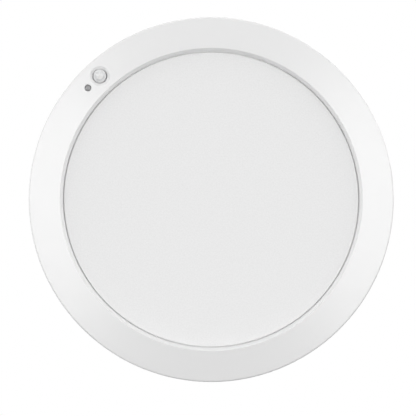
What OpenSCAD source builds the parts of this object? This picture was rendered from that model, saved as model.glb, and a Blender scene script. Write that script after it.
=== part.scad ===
// Round wall or ceiling light with a built-in motion sensor.
// The wall is the plane Y = 0, the face looks along -Y, and +Z is up. The origin is the centre of the
// mounting plate's back. Each module is drawn with its own Z pointing away from the wall, towards the
// viewer, and to_row() turns it into the part's frame.

/* [Lamp] */
// Outside diameter of the bezel
lamp_d = 225; // [222:0.5:232]
// Distance from the wall to the crest of the bezel
lamp_depth = 38; // [38:0.5:44]
// Width of the sloping bezel ring
bezel_w = 19.2; // [19:0.1:20]
// Fall of the bezel ring from its crest to its outer edge, in degrees
bezel_slope = 10; // [7:0.5:11]
// Wall thickness of the bezel
bezel_t = 2; // [1.8:0.1:2.2]
// Width, seen from the front, of the steep chamfer inside the crest
chamfer_w = 1.9; // [1.6:0.1:2.2]
// Depth of that chamfer
chamfer_depth = 3; // [2.5:0.1:3.2]
// Gap between the chamfer's foot and the raised face of the diffuser
shadow_gap = 0.7; // [0.5:0.1:1]

/* [Motion sensor] */
// Where the motion sensor's lens sits round the bezel, in degrees from +X
lens_angle = 132.1; // [131.5:0.1:132.5]
// Where the light cell's window sits, in degrees from +X
cell_angle = 137.9; // [137.5:0.1:138.5]
// Radius of the lens where it shows through the bezel
lens_r = 3.95; // [3.7:0.05:4]
// Radius of the light cell's window
cell_r = 1.95; // [1.8:0.05:2.1]

/* [Mounting] */
// Outside radius of the mounting plate
plate_r = 70.2; // [69.5:0.1:70.4]
// Radius of the cable window in the mounting plate
window_r = 34; // [33:0.5:35]
// Distance between the two slots for box screws
slot_spacing = 88; // [86:0.5:90]
// Hole circle of the four wall screws
wall_pcd = 116; // [114:1:118]
// How far the lamp turns between unlocked and locked, in degrees
lock_turn = 18; // [15:1:18]
// Radius of the circle that the lock studs sit on
stud_circle_r = 58; // [57.5:0.5:58.5]

/* [LEDs] */
// Number of LEDs round the light guide
led_count = 72; // [48:6:72]

/* [Hidden] */
$fn = 96;

// Clearances
gap = 0.1;
fit = 0.05;
eps = 0.01;
// How far a raised feature reaches into the wall that it stands on
sunk = 0.5;

// Radii, from the outside in
lamp_r = lamp_d / 2;
skirt_draft = 1.3;
crest_r = lamp_r - bezel_w;
lip_r = crest_r - chamfer_w;
sensor_r = crest_r + 9;
tray_in_r = crest_r + 1.6;
tray_out_r = crest_r + 2.7;
guide_r = crest_r;
face_r = lip_r - shadow_gap;
housing_r = lamp_r - 3.5;
boss_circle_r = lamp_r - 9;
ear_circle_r = crest_r + 7.7;

// Levels, as distances from the wall, from the front back
lip_top = lamp_depth - chamfer_depth;
lip_under = lip_top - 1.4;
face_z = lip_top - 0.9;
seal_t = 0.55;
flange_top = lip_under - seal_t - gap;
diffuser_back = lip_under - 2;
guide_front = diffuser_back - gap;
guide_back = guide_front - 3;
sheet_front = guide_back - gap;
sheet_back = sheet_front - 0.4;
pad_front = sheet_back - gap;
pad_back = pad_front - 1.8;
tray_front = pad_back - gap;
tray_back = tray_front - 1.1;
pcb_t = 1.6;
board_back = 11.6;
board_front = board_back + pcb_t;
recess_z = 7;
floor_t = 2;
recess_in = recess_z + floor_t;
rim_z = 2.5;
rim_in = rim_z + floor_t;
skirt_back = 1.5;
recess_r = 72;

// Mounting plate and its studs
plate_t = 1.2;
plate_rim_z = 3.5;
plate_rim_t = 1.2;
collar_z = 2.5;
stud_angles = [90, 210, 330];
stud_shank_r = 2.2;
stud_head_r = 4.3;
stud_head_z = recess_in + 0.4;
stud_head_t = 1.8;
slot_len = 14;
slot_w = 5;
wall_hole_r = 2.25;
spring_angle = 270;
spring_rivet_a = 13;
spring_rivet_r = 0.6;
leaf_z = 1.4;
leaf_w = 2.6;

// Ribs on the housing's rim
rib_w = 1.2;
rib_h = 0.7;
rib_in_r = recess_r + 5;
rib_out_r = lamp_r - 22;
rib_step = 15;
rib_first = -52.5;
rib_last = 232.5;

// Wall gasket
gasket_in_r = lamp_r - 19;
gasket_out_r = lamp_r - 13.2;
gasket_back = 0.3;

// Screws: thread radii of the larger and the smaller kind, and where they stand
screw_r = 1.25;
small_screw_r = 1;
housing_screw_angles = [for (i = [0:5]) 30 + 60 * i];
ear_angles = [60, 180, 300];
post_y = 13.6;
driver_posts = [[-34, -40], [24, -40], [-34, -61], [24, -61]];
switch_posts = [[-23.5, -83], [23.5, -83]];

// Bosses and pads inside the bezel
housing_boss_r = 3.5;
ear_boss_r = 3.2;
sensor_boss_r = 2.2;
lens_pad_r = 5.9;
cell_pad_r = 4;

// LED strip, the angle of its gap and leads, and the tray's earth point
strip_gap = 6;
strip_t = 0.55;
strip_w = 3.4;
lead_angle = 255;
strip_start = lead_angle + 5 + strip_gap / 2;
ear_half_w = 3.4;
earth_point = [6, 40];

// Sensor group: its middle, its holder and board, and its levels
sensor_mid = 135;
sensor_surface = cone_z(sensor_r);
pad_under = sensor_surface - 3;
holder_top = pad_under - 1.3;
holder_back = holder_top - 4.5;
sensor_board_front = holder_back - gap;
sensor_board_back = sensor_board_front - 1.2;
sensor_screw_head_t = 1.45;
sensor_screw_length = holder_top + 2.4 - sensor_board_back;
sensor_size = [10.8, 32.6];
plug_back = sensor_board_back - 4;
plug_y = 4;
pin_angles = [0, 120, 240];
pin_circle_r = 2.5;
pin_r = 0.22;
lens_y = chord(lens_angle);
cell_y = chord(cell_angle);

// Terminal compartment and its cover
comp_x = 22;
comp_y0 = -31;
comp_y1 = 16.6;
comp_wall = 1.5;
comp_in_z = 19.5;
cover_y0 = -12;
cover_t = 1.6;
hinge_y = 14.6;
hinge_z = 8.3;
hinge_barrel_r = 1.3;
hinge_pin_r = 0.9;
grommet_y = -21.5;
grommet_hole_r = 6;
cable_hole_r = 3.4;
terminal_size = [24, 17, 9.5];
terminal_corner = [-12, -5, comp_in_z - gap - 9.5];
poles = 3;
pole_pitch = 7.5;
button_size = [3.8, 4.8, 3.2];
button_y = 5;
button_proud = 0.7;

// Switch window
switch_y = -83;
panel_x = 27;
panel_half_w = 6;
panel_depth = 5.5;
panel_t = 1.5;
colour_x = -14;
colour_travel = 2.4;
dip_x = 15.1;
dip_count = 3;
dip_pitch = 2.54;
dip_travel = 1.8;
dip_face = 5.2;

// Driver board, and the places of what stands on it
driver_corner = [-42, -75];
driver_size = [72, 40];
transformer_at = [21.9, -50.5];
large_can_at = [-4, -52];
large_can = [5, 17.5];
small_can_at = [-25, -66];
small_can = [4, 12.5];
film_capacitor_at = [-20.5, -45.5];
varistor_at = [-28.6, -47.5];
fuse_at = [-24, -72.6];
choke_at = [-10.5, -44.5];
film_corner = [-46, -80];
film_size = [80, 49];

// Leads
lead_r = 0.8;
corner_swell = 1.7;
lead_z = 22.5;
lead_exit_y = hinge_y - 0.4;
lead_land_y = -37.5;
pole_level = terminal_corner.z + 5.2;
led_lead_z = 18;
signal_socket = [-39.3, -48.9];
led_socket = [-39, -67];
cable_arc_r = 89;

// Height of the bezel's outer surface at radius r
function cone_z(r) = lamp_depth - (r - crest_r) * tan(bezel_slope);
// Sideways distance of an angle from the middle of the sensor group
function chord(a) = sensor_r * sin(a - sensor_mid);
function unit(v) = v / norm(v);
function turned(v, a) = [v.x * cos(a) - v.y * sin(a), v.x * sin(a) + v.y * cos(a)];
function polar(r, a) = [r * cos(a), r * sin(a)];
// Points that round the corner b, between its neighbours a and c, to radius r
function corner_arc(a, b, c, r, n = 6) =
    let (
        u = unit(a - b),
        v = unit(c - b),
        half = acos(u * v) / 2,
        centre = b + unit(u + v) * r / sin(half),
        first = b + u * r / tan(half) - centre,
        side = sign(u.x * v.y - u.y * v.x),
        sweep = -side * (180 - 2 * half)
    )
    [for (i = [0:n]) centre + turned(first, sweep * i / n)];
// An outline whose corners are rounded, each to its own radius
function rounded(points, radii, n = 6) =
    let (m = len(points))
    [for (i = [0:m - 1]) each (
        radii[i] == 0 ? [points[i]]
        : corner_arc(points[(i + m - 1) % m], points[i], points[(i + 1) % m], radii[i], n)
    )];

// How far, and which way, a band's edge stands from point i of its path, per unit of half-width
function band_side(path, i) =
    let (
        before = unit(path[max(i, 1)] - path[max(i, 1) - 1]),
        last = len(path) - 2,
        after = unit(path[min(i, last) + 1] - path[min(i, last)]),
        middle = unit(before + after)
    )
    [-middle.y, middle.x] / (middle * before);
// The outline of a band of thickness t along a path
function band(path, t) = concat(
    [for (i = [0:len(path) - 1]) path[i] + band_side(path, i) * t / 2],
    [for (i = [len(path) - 1:-1:0]) path[i] - band_side(path, i) * t / 2]
);

// Turns a module's own frame into the part's frame
module to_row() {
    rotate([90, 0, 0])
        children();
}

// A flat ring between two levels
module ring(r_in, r_out, z0, z1) {
    translate([0, 0, z0])
        difference() {
            cylinder(r = r_out, h = z1 - z0);
            translate([0, 0, -1])
                cylinder(r = r_in, h = z1 - z0 + 2);
        }
}

// A curved slot of half-width w, along radius r between two angles, with round ends
module arc_slot(r, a0, a1, w, z0, z1) {
    translate([0, 0, z0])
        linear_extrude(z1 - z0)
            polygon(arc_slot_outline(r, a0, a1, w));
}

function arc_slot_outline(r, a0, a1, w, n = 12, m = 16) = concat(
    [for (i = [0:n]) polar(r + w, a0 + (a1 - a0) * i / n)],
    [for (i = [1:m - 1]) polar(r, a1) + polar(w, a1 + 180 * i / m)],
    [for (i = [0:n]) polar(r - w, a1 - (a1 - a0) * i / n)],
    [for (i = [1:m - 1]) polar(r, a0) + polar(w, a0 + 180 + 180 * i / m)]
);

// A straight slot along X, from end to end length
module slot_x(length, width, z0, z1) {
    reach = (length - width) / 2;
    translate([-reach, -width / 2, z0])
        cube([2 * reach, width, z1 - z0]);
    for (s = [-1, 1])
        translate([s * reach, 0, z0])
            cylinder(r = width / 2, h = z1 - z0);
}

// A block with rounded upright corners, centred in X and Y
module soft_block(size, r, z0) {
    for (s = [[size.x, size.y - 2 * r], [size.x - 2 * r, size.y]])
        translate([-s.x / 2, -s.y / 2, z0])
            cube([s.x, s.y, size.z]);
    for (sx = [-1, 1], sy = [-1, 1])
        translate([sx * (size.x / 2 - r), sy * (size.y / 2 - r), z0])
            cylinder(r = r, h = size.z);
}

// A round lead through a list of points, with a ball at each corner that covers the mitre of a square turn
module lead(points, r) {
    for (i = [0:len(points) - 2]) {
        run = points[i + 1] - points[i];
        translate(points[i])
            rotate([0, acos(run.z / norm(run)), atan2(run.y, run.x)])
                cylinder(r = r, h = norm(run), $fn = 24);
    }
    for (i = [1:len(points) - 2])
        translate(points[i])
            rotate([0, 0, 45])
                sphere(r = r * corner_swell, $fn = 24);
}

// A pan-head screw whose head's underside is at z, with its shank going towards +Z
module pan_screw(head_r, head_t, shank_r, length) {
    difference() {
        rotate_extrude()
            polygon(concat(
                [[0, length], [shank_r * 0.6, length], [shank_r, length - shank_r], [shank_r, 0], [head_r, 0]],
                [for (a = [0:15:75]) [head_r * cos(a), -head_t * (0.25 + 0.75 * sin(a))]],
                [[0, -head_t]]
            ));
        cross_recess(head_r * 0.55, -head_t, head_t * 0.55);
    }
}

// A cross recess cut from level z upwards
module cross_recess(reach, z, depth) {
    for (a = [0, 90])
        rotate([0, 0, a])
            translate([-reach, -reach * 0.18, z - 1])
                cube([2 * reach, reach * 0.36, depth + 1]);
}

// The sensor group's own frame: X outwards from the lamp's axis, Y round the bezel
module sensor_frame() {
    rotate([0, 0, sensor_mid])
        translate([sensor_r, 0, 0])
            children();
}

// ---- Mounting plate ----

module mounting_plate() {
    color("lightsteelblue")
        difference() {
            rotate_extrude()
                polygon(rounded(
                    [
                        [window_r, 0], [plate_r, 0], [plate_r, plate_rim_z],
                        [plate_r - plate_rim_t, plate_rim_z], [plate_r - plate_rim_t, plate_t],
                        [window_r + plate_t, plate_t], [window_r + plate_t, collar_z], [window_r, collar_z]
                    ],
                    [0, 1, 0.3, 0.3, 0.8, 0.8, 0.3, 0.3]
                ));
            for (s = [-1, 1])
                translate([s * slot_spacing / 2, 0, 0])
                    slot_x(slot_len, slot_w, -1, plate_t + 1);
            for (a = [45:90:315])
                translate([each polar(wall_pcd / 2, a), -1])
                    cylinder(r = wall_hole_r, h = plate_t + 2);
            for (a = stud_angles)
                translate([each polar(stud_circle_r, a), -1])
                    cylinder(r = stud_shank_r * 0.7 + fit, h = plate_t + 2);
            for (s = [-1, 1])
                rotate([0, 0, spring_angle + spring_rivet_a * s])
                    translate([plate_r - 3, 0, leaf_z + leaf_w / 2])
                        rotate([0, 90, 0])
                            cylinder(r = spring_rivet_r + fit, h = 5, $fn = 32);
        }
}

// Shouldered studs, riveted into the plate, that the lamp's keyholes hook over
module lock_studs() {
    color("silver")
        for (a = stud_angles)
            translate([each polar(stud_circle_r, a), 0])
                rotate_extrude()
                    polygon(rounded(
                        [
                            [0, 0.3], [stud_shank_r * 0.7, 0.3], [stud_shank_r * 0.7, plate_t + fit],
                            [stud_shank_r + 1, plate_t + fit], [stud_shank_r + 1, plate_t + 0.8],
                            [stud_shank_r, plate_t + 0.8], [stud_shank_r, stud_head_z],
                            [stud_head_r, stud_head_z], [stud_head_r, stud_head_z + stud_head_t],
                            [0, stud_head_z + stud_head_t]
                        ],
                        [0, 0, 0, 0, 0.2, 0.2, 0, 0.3, 0.6, 0]
                    ));
}

// Leaf spring on the plate's rim, whose bump drops into a notch in the housing when the lamp is locked
module lock_spring() {
    leaf_t = 0.4;
    half_span = 15;
    leaf = [for (a = [-half_span:0.5:half_span]) polar(leaf_radius(a, leaf_t), spring_angle + a)];
    color("gainsboro") {
        translate([0, 0, leaf_z])
            linear_extrude(leaf_w)
                polygon(band(leaf, leaf_t));
        for (s = [-1, 1])
            rotate([0, 0, spring_angle + spring_rivet_a * s])
                translate([plate_r - plate_rim_t - 0.4, 0, leaf_z + leaf_w / 2])
                    rotate([0, 90, 0])
                        cylinder(r = spring_rivet_r, h = plate_rim_t + leaf_t + 0.7, $fn = 32);
    }
}

// Radius of the leaf's middle, at angle a from its centre: flat on the rim at its ends, then bowed, with a bump
function leaf_radius(a, leaf_t) =
    let (bow_end = 11, bow = 0.55, bump = 1.25, bump_width = 1.2)
    plate_r + fit + leaf_t / 2
    + (abs(a) < bow_end ? bow * (1 + cos(180 * a / bow_end)) / 2 : 0)
    + bump * exp(-pow(a / bump_width, 2));

// ---- Front ----

module front_bezel() {
    inner_cone = crest_r + 3.6;
    skirt_in = lamp_r - bezel_t;
    color("whitesmoke")
        difference() {
            union() {
                rotate_extrude($fn = 256)
                    polygon(rounded(
                        [
                            [lamp_r - skirt_draft, skirt_back], [lamp_r, cone_z(lamp_r)],
                            [crest_r, lamp_depth], [lip_r, lip_top], [lip_r, lip_under],
                            [crest_r + 3.4, lip_under], [inner_cone, cone_z(inner_cone) - bezel_t],
                            [skirt_in, cone_z(skirt_in) - bezel_t], [skirt_in - skirt_draft, skirt_back]
                        ],
                        [0.5, 1.1, 0.4, 0.2, 0.2, 0, 0, 1, 0.3]
                    ));
                intersection() {
                    bezel_bosses();
                    under_the_cone();
                }
            }
            for (a = housing_screw_angles)
                translate([each polar(boss_circle_r, a), 0])
                    cylinder(r = screw_r + fit, h = 18);
            for (a = ear_angles)
                translate([each polar(ear_circle_r, a), tray_front])
                    cylinder(r = screw_r + fit, h = 7.5);
            sensor_frame() {
                for (s = [-1, 1])
                    translate([0, s * post_y, holder_top])
                        cylinder(r = small_screw_r + fit, h = 2.6);
                lens_opening();
                cell_opening();
            }
        }
}

// Everything below the middle of the sloping ring's thickness
module under_the_cone() {
    edge = lamp_r - 1;
    rotate_extrude()
        polygon([
            [0, 0], [edge, 0], [edge, cone_z(edge) - bezel_t / 2],
            [crest_r, cone_z(crest_r) - bezel_t / 2], [0, cone_z(crest_r) - bezel_t / 2]
        ]);
}

// Screw bosses and sensor pads, from their own ends up to the crest
module bezel_bosses() {
    for (a = housing_screw_angles)
        boss_at(polar(boss_circle_r, a), housing_boss_r, rim_in + gap);
    for (a = ear_angles)
        boss_at(polar(ear_circle_r, a), ear_boss_r, tray_front + fit);
    sensor_frame() {
        for (s = [-1, 1])
            boss_at([0, s * post_y], sensor_boss_r, holder_top + fit);
        boss_at([0, lens_y], lens_pad_r, pad_under);
        boss_at([0, cell_y], cell_pad_r, pad_under);
    }
}

module boss_at(place, r, z0) {
    translate([each place, z0])
        cylinder(r = r, h = lamp_depth - z0);
}

// The lens looks out of a countersunk hole
module lens_opening() {
    hole_r = lens_r + 0.6;
    translate([0, lens_y, pad_under - 1])
        cylinder(r = hole_r, h = 6);
    countersink(lens_y, hole_r, 1.4, 1.2);
}

// The light cell looks out of a small hole with a broken edge
module cell_opening() {
    translate([0, cell_y, pad_under - 1])
        cylinder(r = cell_r, h = 6);
    countersink(cell_y, cell_r, 0.5, 1);
}

// A countersink square to the slope, round a hole of radius r.
// Its radius grows by flare for each unit of height.
module countersink(y, r, depth, flare) {
    over = 0.6;
    translate([0, y, sensor_surface])
        rotate([0, bezel_slope, 0])
            translate([0, 0, -depth - over])
                cylinder(r1 = r - flare * over, r2 = r + flare * (depth + over), h = depth + 2 * over);
}

module diffuser() {
    color("white")
        rotate_extrude($fn = 256)
            polygon(rounded(
                [
                    [0, diffuser_back], [tray_in_r - 0.2, diffuser_back], [tray_in_r - 0.2, flange_top],
                    [face_r, flange_top], [face_r, face_z], [0, face_z]
                ],
                [0, 0.2, 0.2, 0.3, 0.35, 0]
            ));
}

module diffuser_seal() {
    color("dimgray")
        ring(lip_r + 0.9, tray_in_r - 0.3, flange_top + gap / 2, lip_under - gap / 2);
}

module light_guide() {
    color("lightcyan", 0.6)
        translate([0, 0, guide_back])
            cylinder(r = guide_r, h = guide_front - guide_back);
}

module reflector_sheet() {
    color("white")
        translate([0, 0, sheet_back])
            cylinder(r = guide_r + 0.7, h = sheet_front - sheet_back);
}

// Sponge that presses the sheet and the guide up against the diffuser
module foam_pad() {
    color("dimgray")
        difference() {
            translate([0, 0, pad_back])
                cylinder(r = guide_r - 0.5, h = pad_front - pad_back);
            translate([each earth_point, pad_back - 1])
                cylinder(r = 3, h = 4);
        }
}

// Flexible circuit that stands round the inside of the tray's wall
module led_strip() {
    color("ghostwhite")
        rotate([0, 0, strip_start])
            rotate_extrude(angle = 360 - strip_gap)
                translate([tray_in_r - gap - strip_t, sheet_front - 0.3])
                    square([strip_t, strip_w]);
}

module led_chips() {
    size = [0.75, 4, 1.4];
    margin = 2;
    span = 360 - strip_gap - 2 * margin;
    color("khaki")
        for (i = [0:led_count - 1])
            rotate([0, 0, strip_start + margin + span * i / (led_count - 1)])
                translate([guide_r + 0.1, -size.y / 2, (guide_front + guide_back - size.z) / 2])
                    cube(size);
}

// Aluminium tray that carries the optical stack and takes the LEDs' heat
module heat_sink_tray() {
    color("silver")
        difference() {
            union() {
                rotate_extrude($fn = 200)
                    polygon(rounded(
                        [
                            [0, tray_back], [tray_out_r, tray_back], [tray_out_r, lip_under - gap],
                            [tray_in_r, lip_under - gap], [tray_in_r, tray_front], [0, tray_front]
                        ],
                        [0, 1, 0.2, 0.2, 0.2, 0]
                    ));
                for (a = ear_angles)
                    rotate([0, 0, a]) {
                        translate([tray_in_r, -ear_half_w, tray_back])
                            cube([ear_circle_r - tray_in_r, 2 * ear_half_w, tray_front - tray_back]);
                        translate([ear_circle_r, 0, tray_back])
                            cylinder(r = ear_half_w, h = tray_front - tray_back);
                    }
            }
            for (a = ear_angles)
                translate([each polar(ear_circle_r, a), tray_back - 1])
                    cylinder(r = 1.6, h = 4);
            rotate([0, 0, lead_angle])
                translate([tray_in_r - 0.5, -4, tray_back - 1])
                    cube([3, 8, 7]);
            translate([each earth_point, tray_back - 1])
                cylinder(r = 1.5 + fit, h = 4);
        }
}

module tray_screws() {
    color("gray")
        for (a = ear_angles)
            translate([each polar(ear_circle_r, a), tray_back - fit])
                pan_screw(2.7, 1.9, screw_r, 8);
}

// ---- Rear housing ----

module rear_housing() {
    color("whitesmoke")
        difference() {
            union() {
                housing_pan();
                rim_ribs();
                for (a = stud_angles)
                    keyhole_pocket(a);
                compartment_box();
                switch_box();
                board_post(driver_posts, 3, recess_in);
                board_post(switch_posts, 2.6, panel_depth + panel_t);
            }
            for (a = stud_angles)
                keyhole(a);
            compartment_space();
            switch_openings();
            housing_screw_holes();
            rotate([0, 0, spring_angle])
                translate([recess_r - 0.9, 0, 0])
                    cylinder(r = 1.7, h = recess_z - 0.6, $fn = 40);
        }
}

// The pan: a raised rim near the wall, and a deeper middle that takes the mounting plate
module housing_pan() {
    rotate_extrude($fn = 200)
        polygon(rounded(
            [
                [0, recess_z], [recess_r, recess_z], [recess_r + 1, rim_z], [housing_r, rim_z],
                [housing_r, rim_z + 5.5], [housing_r - 1.7, rim_z + 5.5], [housing_r - 1.7, rim_in],
                [recess_r + 2.8, rim_in], [recess_r + 1.8, recess_in], [0, recess_in]
            ],
            [0, 0.8, 0.8, 0.6, 0.4, 0.4, 0.5, 1, 1, 0]
        ));
}

// Outer walls of the compartment that holds the supply terminal
module compartment_box() {
    base = recess_z + sunk;
    translate([-comp_x - comp_wall, comp_y0 - comp_wall, base])
        cube([
            2 * (comp_x + comp_wall),
            comp_y1 - comp_y0 + 2 * comp_wall,
            comp_in_z + comp_wall - base
        ]);
}

// Outer walls of the pocket that the setting switches are reached through
module switch_box() {
    base = rim_z + sunk;
    half = panel_half_w + panel_t;
    translate([-panel_x - panel_t, switch_y - half, base])
        cube([2 * (panel_x + panel_t), 2 * half, panel_depth + panel_t - base]);
}

// Posts of radius r that stand on the level floor and carry a board
module board_post(places, r, floor) {
    for (p = places)
        translate([p.x, p.y, floor - sunk])
            cylinder(r = r, h = board_back - fit - floor + sunk);
}

// Short radial ribs on the rim's outer face, all round except at the switch window
module rim_ribs() {
    for (a = [rib_first:rib_step:rib_last])
        rotate([0, 0, a])
            translate([rib_in_r, -rib_w / 2, rim_z - rib_h])
                cube([rib_out_r - rib_in_r, rib_w, rib_h + sunk]);
}

// Blind pocket inside the pan over each keyhole
module keyhole_pocket(a) {
    arc_slot(
        stud_circle_r, a - lock_turn, a, stud_head_r + 2.1,
        recess_in - sunk, stud_head_z + stud_head_t + 2
    );
}

// Keyhole: a round entry, a curved slot for the shank, and room behind for the head
module keyhole(a) {
    translate([each polar(stud_circle_r, a - lock_turn), recess_z - 1])
        cylinder(r = stud_head_r + 0.6, h = 4);
    arc_slot(stud_circle_r, a - lock_turn, a, stud_shank_r + 0.3, recess_z - 1, recess_in + 0.1);
    arc_slot(
        stud_circle_r, a - lock_turn, a, stud_head_r + 0.8,
        recess_in, stud_head_z + stud_head_t + 0.8
    );
}

module compartment_space() {
    translate([-comp_x, comp_y0, recess_in])
        cube([2 * comp_x, comp_y1 - comp_y0, comp_in_z - recess_in]);
    translate([-comp_x, cover_y0, recess_z - 1])
        cube([2 * comp_x, comp_y1 - cover_y0, floor_t + 2]);
    translate([0, grommet_y, recess_z - 1])
        cylinder(r = grommet_hole_r, h = floor_t + 2);
    for (s = [-1, 1])
        translate([s * (comp_x + 0.6), hinge_y, hinge_z])
            rotate([0, 90, 0])
                cylinder(r = hinge_pin_r + fit, h = 1.4, center = true, $fn = 40);
    for (i = [0:poles - 1])
        translate([pole_x(i), lead_exit_y, comp_in_z - 1])
            cylinder(r = 1.2, h = comp_wall + 2, $fn = 32);
}

function pole_x(i) = (i - (poles - 1) / 2) * pole_pitch;

module switch_openings() {
    translate([-panel_x, switch_y - panel_half_w, rim_z - 1])
        cube([2 * panel_x, 2 * panel_half_w, panel_depth - rim_z + 1]);
    translate([colour_x - colour_travel - 1.6, switch_y - 1.7, panel_depth - 1])
        cube([2 * (colour_travel + 1.6), 3.4, panel_t + 2]);
    translate([dip_x - 5.3, switch_y - 3.3, panel_depth - 1])
        cube([10.6, 6.6, panel_t + 2]);
    for (p = switch_posts)
        translate([p.x, p.y, panel_depth + panel_t])
            cylinder(r = small_screw_r + fit, h = 8, $fn = 40);
    for (p = driver_posts)
        translate([p.x, p.y, recess_in - 1])
            cylinder(r = screw_r + fit, h = 6, $fn = 40);
}

module housing_screw_holes() {
    for (a = housing_screw_angles)
        translate([each polar(boss_circle_r, a), 0]) {
            cylinder(r = 1.6, h = 8);
            translate([0, 0, rim_z - 0.1])
                cylinder(r1 = 3.1, r2 = 1.6, h = 1.6);
        }
}

// Countersunk screws that close the housing
module housing_screws() {
    head_z = rim_z + 0.1;
    tip_z = head_z + 14;
    color("gray")
        for (a = housing_screw_angles)
            translate([each polar(boss_circle_r, a), 0])
                difference() {
                    rotate_extrude()
                        polygon([
                            [0, head_z], [2.65, head_z], [screw_r, head_z + 1.4],
                            [screw_r, tip_z - 1.5], [0.6, tip_z], [0, tip_z]
                        ]);
                    cross_recess(1.6, head_z, 1);
                }
}

// Soft ring that closes the gap to the wall
module wall_gasket() {
    color("darkgray")
        rotate_extrude()
            polygon(rounded(
                [
                    [gasket_in_r, gasket_back], [gasket_out_r, gasket_back],
                    [gasket_out_r, rim_z - fit], [gasket_in_r, rim_z - fit]
                ],
                [0.5, 0.5, 0.1, 0.1]
            ));
}

// ---- Motion sensor ----

// Domed lens with a flange that sits behind the bezel
module pir_lens() {
    shell = 0.5;
    flange_w = 1.55;
    flange_t = 1.15;
    dome_base = sensor_surface - 1.1;
    dome_h = 2.4;
    ball_r = (lens_r * lens_r + dome_h * dome_h) / (2 * dome_h);
    color("white", 0.85)
        sensor_frame()
            translate([0, lens_y, 0])
                difference() {
                    union() {
                        translate([0, 0, holder_top + fit])
                            cylinder(r = lens_r + flange_w, h = flange_t);
                        translate([0, 0, holder_top + 1])
                            cylinder(r = lens_r, h = dome_base - holder_top - 1);
                        dome(ball_r, dome_base, dome_h);
                    }
                    translate([0, 0, holder_top - 1])
                        cylinder(r = lens_r - shell, h = dome_base - holder_top + 1);
                    dome(ball_r - shell, dome_base - eps, dome_h - shell);
                }
}

// The cap of a ball, standing h above the level z
module dome(ball_r, z, h) {
    intersection() {
        translate([0, 0, z + h - ball_r])
            sphere(r = ball_r);
        translate([0, 0, z])
            cylinder(r = ball_r * 2, h = h + 1);
    }
}

// Pyroelectric detector in a metal can, with its window and three leads
module pir_detector() {
    base = sensor_board_front + gap / 2;
    brim_r = 4.55;
    can_r = 4.1;
    can_h = 3.9;
    color("silver")
        sensor_frame()
            translate([0, lens_y, 0]) {
                difference() {
                    rotate_extrude()
                        polygon(rounded(
                            [
                                [0, base], [brim_r, base], [brim_r, base + 0.5], [can_r, base + 0.5],
                                [can_r, base + can_h], [0, base + can_h]
                            ],
                            [0, 0.15, 0.15, 0, 0.5, 0]
                        ));
                    translate([-2, -1.5, base + can_h - 0.4])
                        cube([4, 3, 1]);
                }
                for (a = pin_angles)
                    translate([each polar(pin_circle_r, a), base - 2])
                        cylinder(r = pin_r, h = 2.2, $fn = 16);
            }
}

// Smoked rod that carries daylight down to the light cell
module light_pipe() {
    top = sensor_surface - 0.75;
    color("dimgray", 0.8)
        sensor_frame()
            translate([0, cell_y, 0])
                rotate_extrude()
                    polygon(rounded(
                        [
                            [0, holder_top + fit], [cell_r + 0.8, holder_top + fit],
                            [cell_r + 0.8, pad_under - fit], [cell_r - 0.12, pad_under - fit],
                            [cell_r - 0.12, top], [0, top + 0.25]
                        ],
                        [0, 0.15, 0.15, 0, 0.5, 0]
                    ));
}

module light_cell() {
    base = sensor_board_front + gap / 2;
    bulb_r = 1.5;
    bulb_h = 2.6;
    color("lightgray")
        sensor_frame()
            translate([0, cell_y, 0]) {
                translate([0, 0, base])
                    cylinder(r = 1.9, h = 0.8);
                translate([0, 0, base])
                    cylinder(r = bulb_r, h = bulb_h);
                translate([0, 0, base + bulb_h])
                    sphere(r = bulb_r - eps);
            }
}

module sensor_holder() {
    color("white")
        sensor_frame()
            difference() {
                soft_block([each sensor_size, holder_top - holder_back], 2, holder_back);
                translate([0, lens_y, holder_back - 1])
                    cylinder(r = 4.8, h = 8);
                translate([0, cell_y, holder_back - 1])
                    cylinder(r = 2.1, h = 8);
                for (s = [-1, 1])
                    translate([0, s * post_y, holder_back - 1])
                        cylinder(r = 1.15, h = 8);
            }
}

module sensor_board() {
    color("seagreen")
        sensor_frame()
            difference() {
                soft_block([each sensor_size, sensor_board_front - sensor_board_back], 1, sensor_board_back);
                for (s = [-1, 1])
                    translate([0, s * post_y, sensor_board_back - 1])
                        cylinder(r = 1.15, h = 4);
                for (a = pin_angles)
                    translate([pin_circle_r * cos(a), lens_y + pin_circle_r * sin(a), sensor_board_back - 1])
                        cylinder(r = pin_r + 0.13, h = 4, $fn = 20);
            }
}

module sensor_screws() {
    color("gray")
        sensor_frame()
            for (s = [-1, 1])
                translate([0, s * post_y, sensor_board_back - fit])
                    pan_screw(1.9, sensor_screw_head_t, small_screw_r, sensor_screw_length);
}

module sensor_plug() {
    color("ivory")
        sensor_frame()
            translate([0, plug_y, 0])
                difference() {
                    soft_block([4.6, 6.4, 3.9], 0.5, plug_back);
                    for (s = [-1, 1])
                        translate([s * 2.6 - 0.6, -2, plug_back - 1])
                            cube([1.2, 4, 3]);
                }
}

// Flat four-way cable from the sensor to the driver, standing on its edge round the lamp
module sensor_cable() {
    start = sensor_mid + atan(plug_y / sensor_r);
    stop = 224;
    across = 3.8;
    thick = 1;
    z0 = 14.6;
    bends = 24;
    arc = [for (i = [0:bends]) polar(cable_arc_r, start + (stop - start) * i / bends)];
    path = concat([polar(sensor_r + 0.7, start)], arc, [signal_socket - [2.5, 0]]);
    color("lightgray") {
        translate([0, 0, z0])
            linear_extrude(across)
                polygon(band(path, thick));
        sensor_frame()
            translate([-thick / 2, plug_y - across / 2, z0 + 0.4])
                cube([thick, across, plug_back - fit - z0 - 0.4]);
    }
}

// ---- Driver ----

module driver_board() {
    color("seagreen")
        difference() {
            translate([each driver_corner, board_back])
                cube([each driver_size, pcb_t]);
            for (p = driver_posts)
                translate([p.x, p.y, board_back - 1])
                    cylinder(r = 1.5, h = pcb_t + 2);
        }
}

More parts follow.
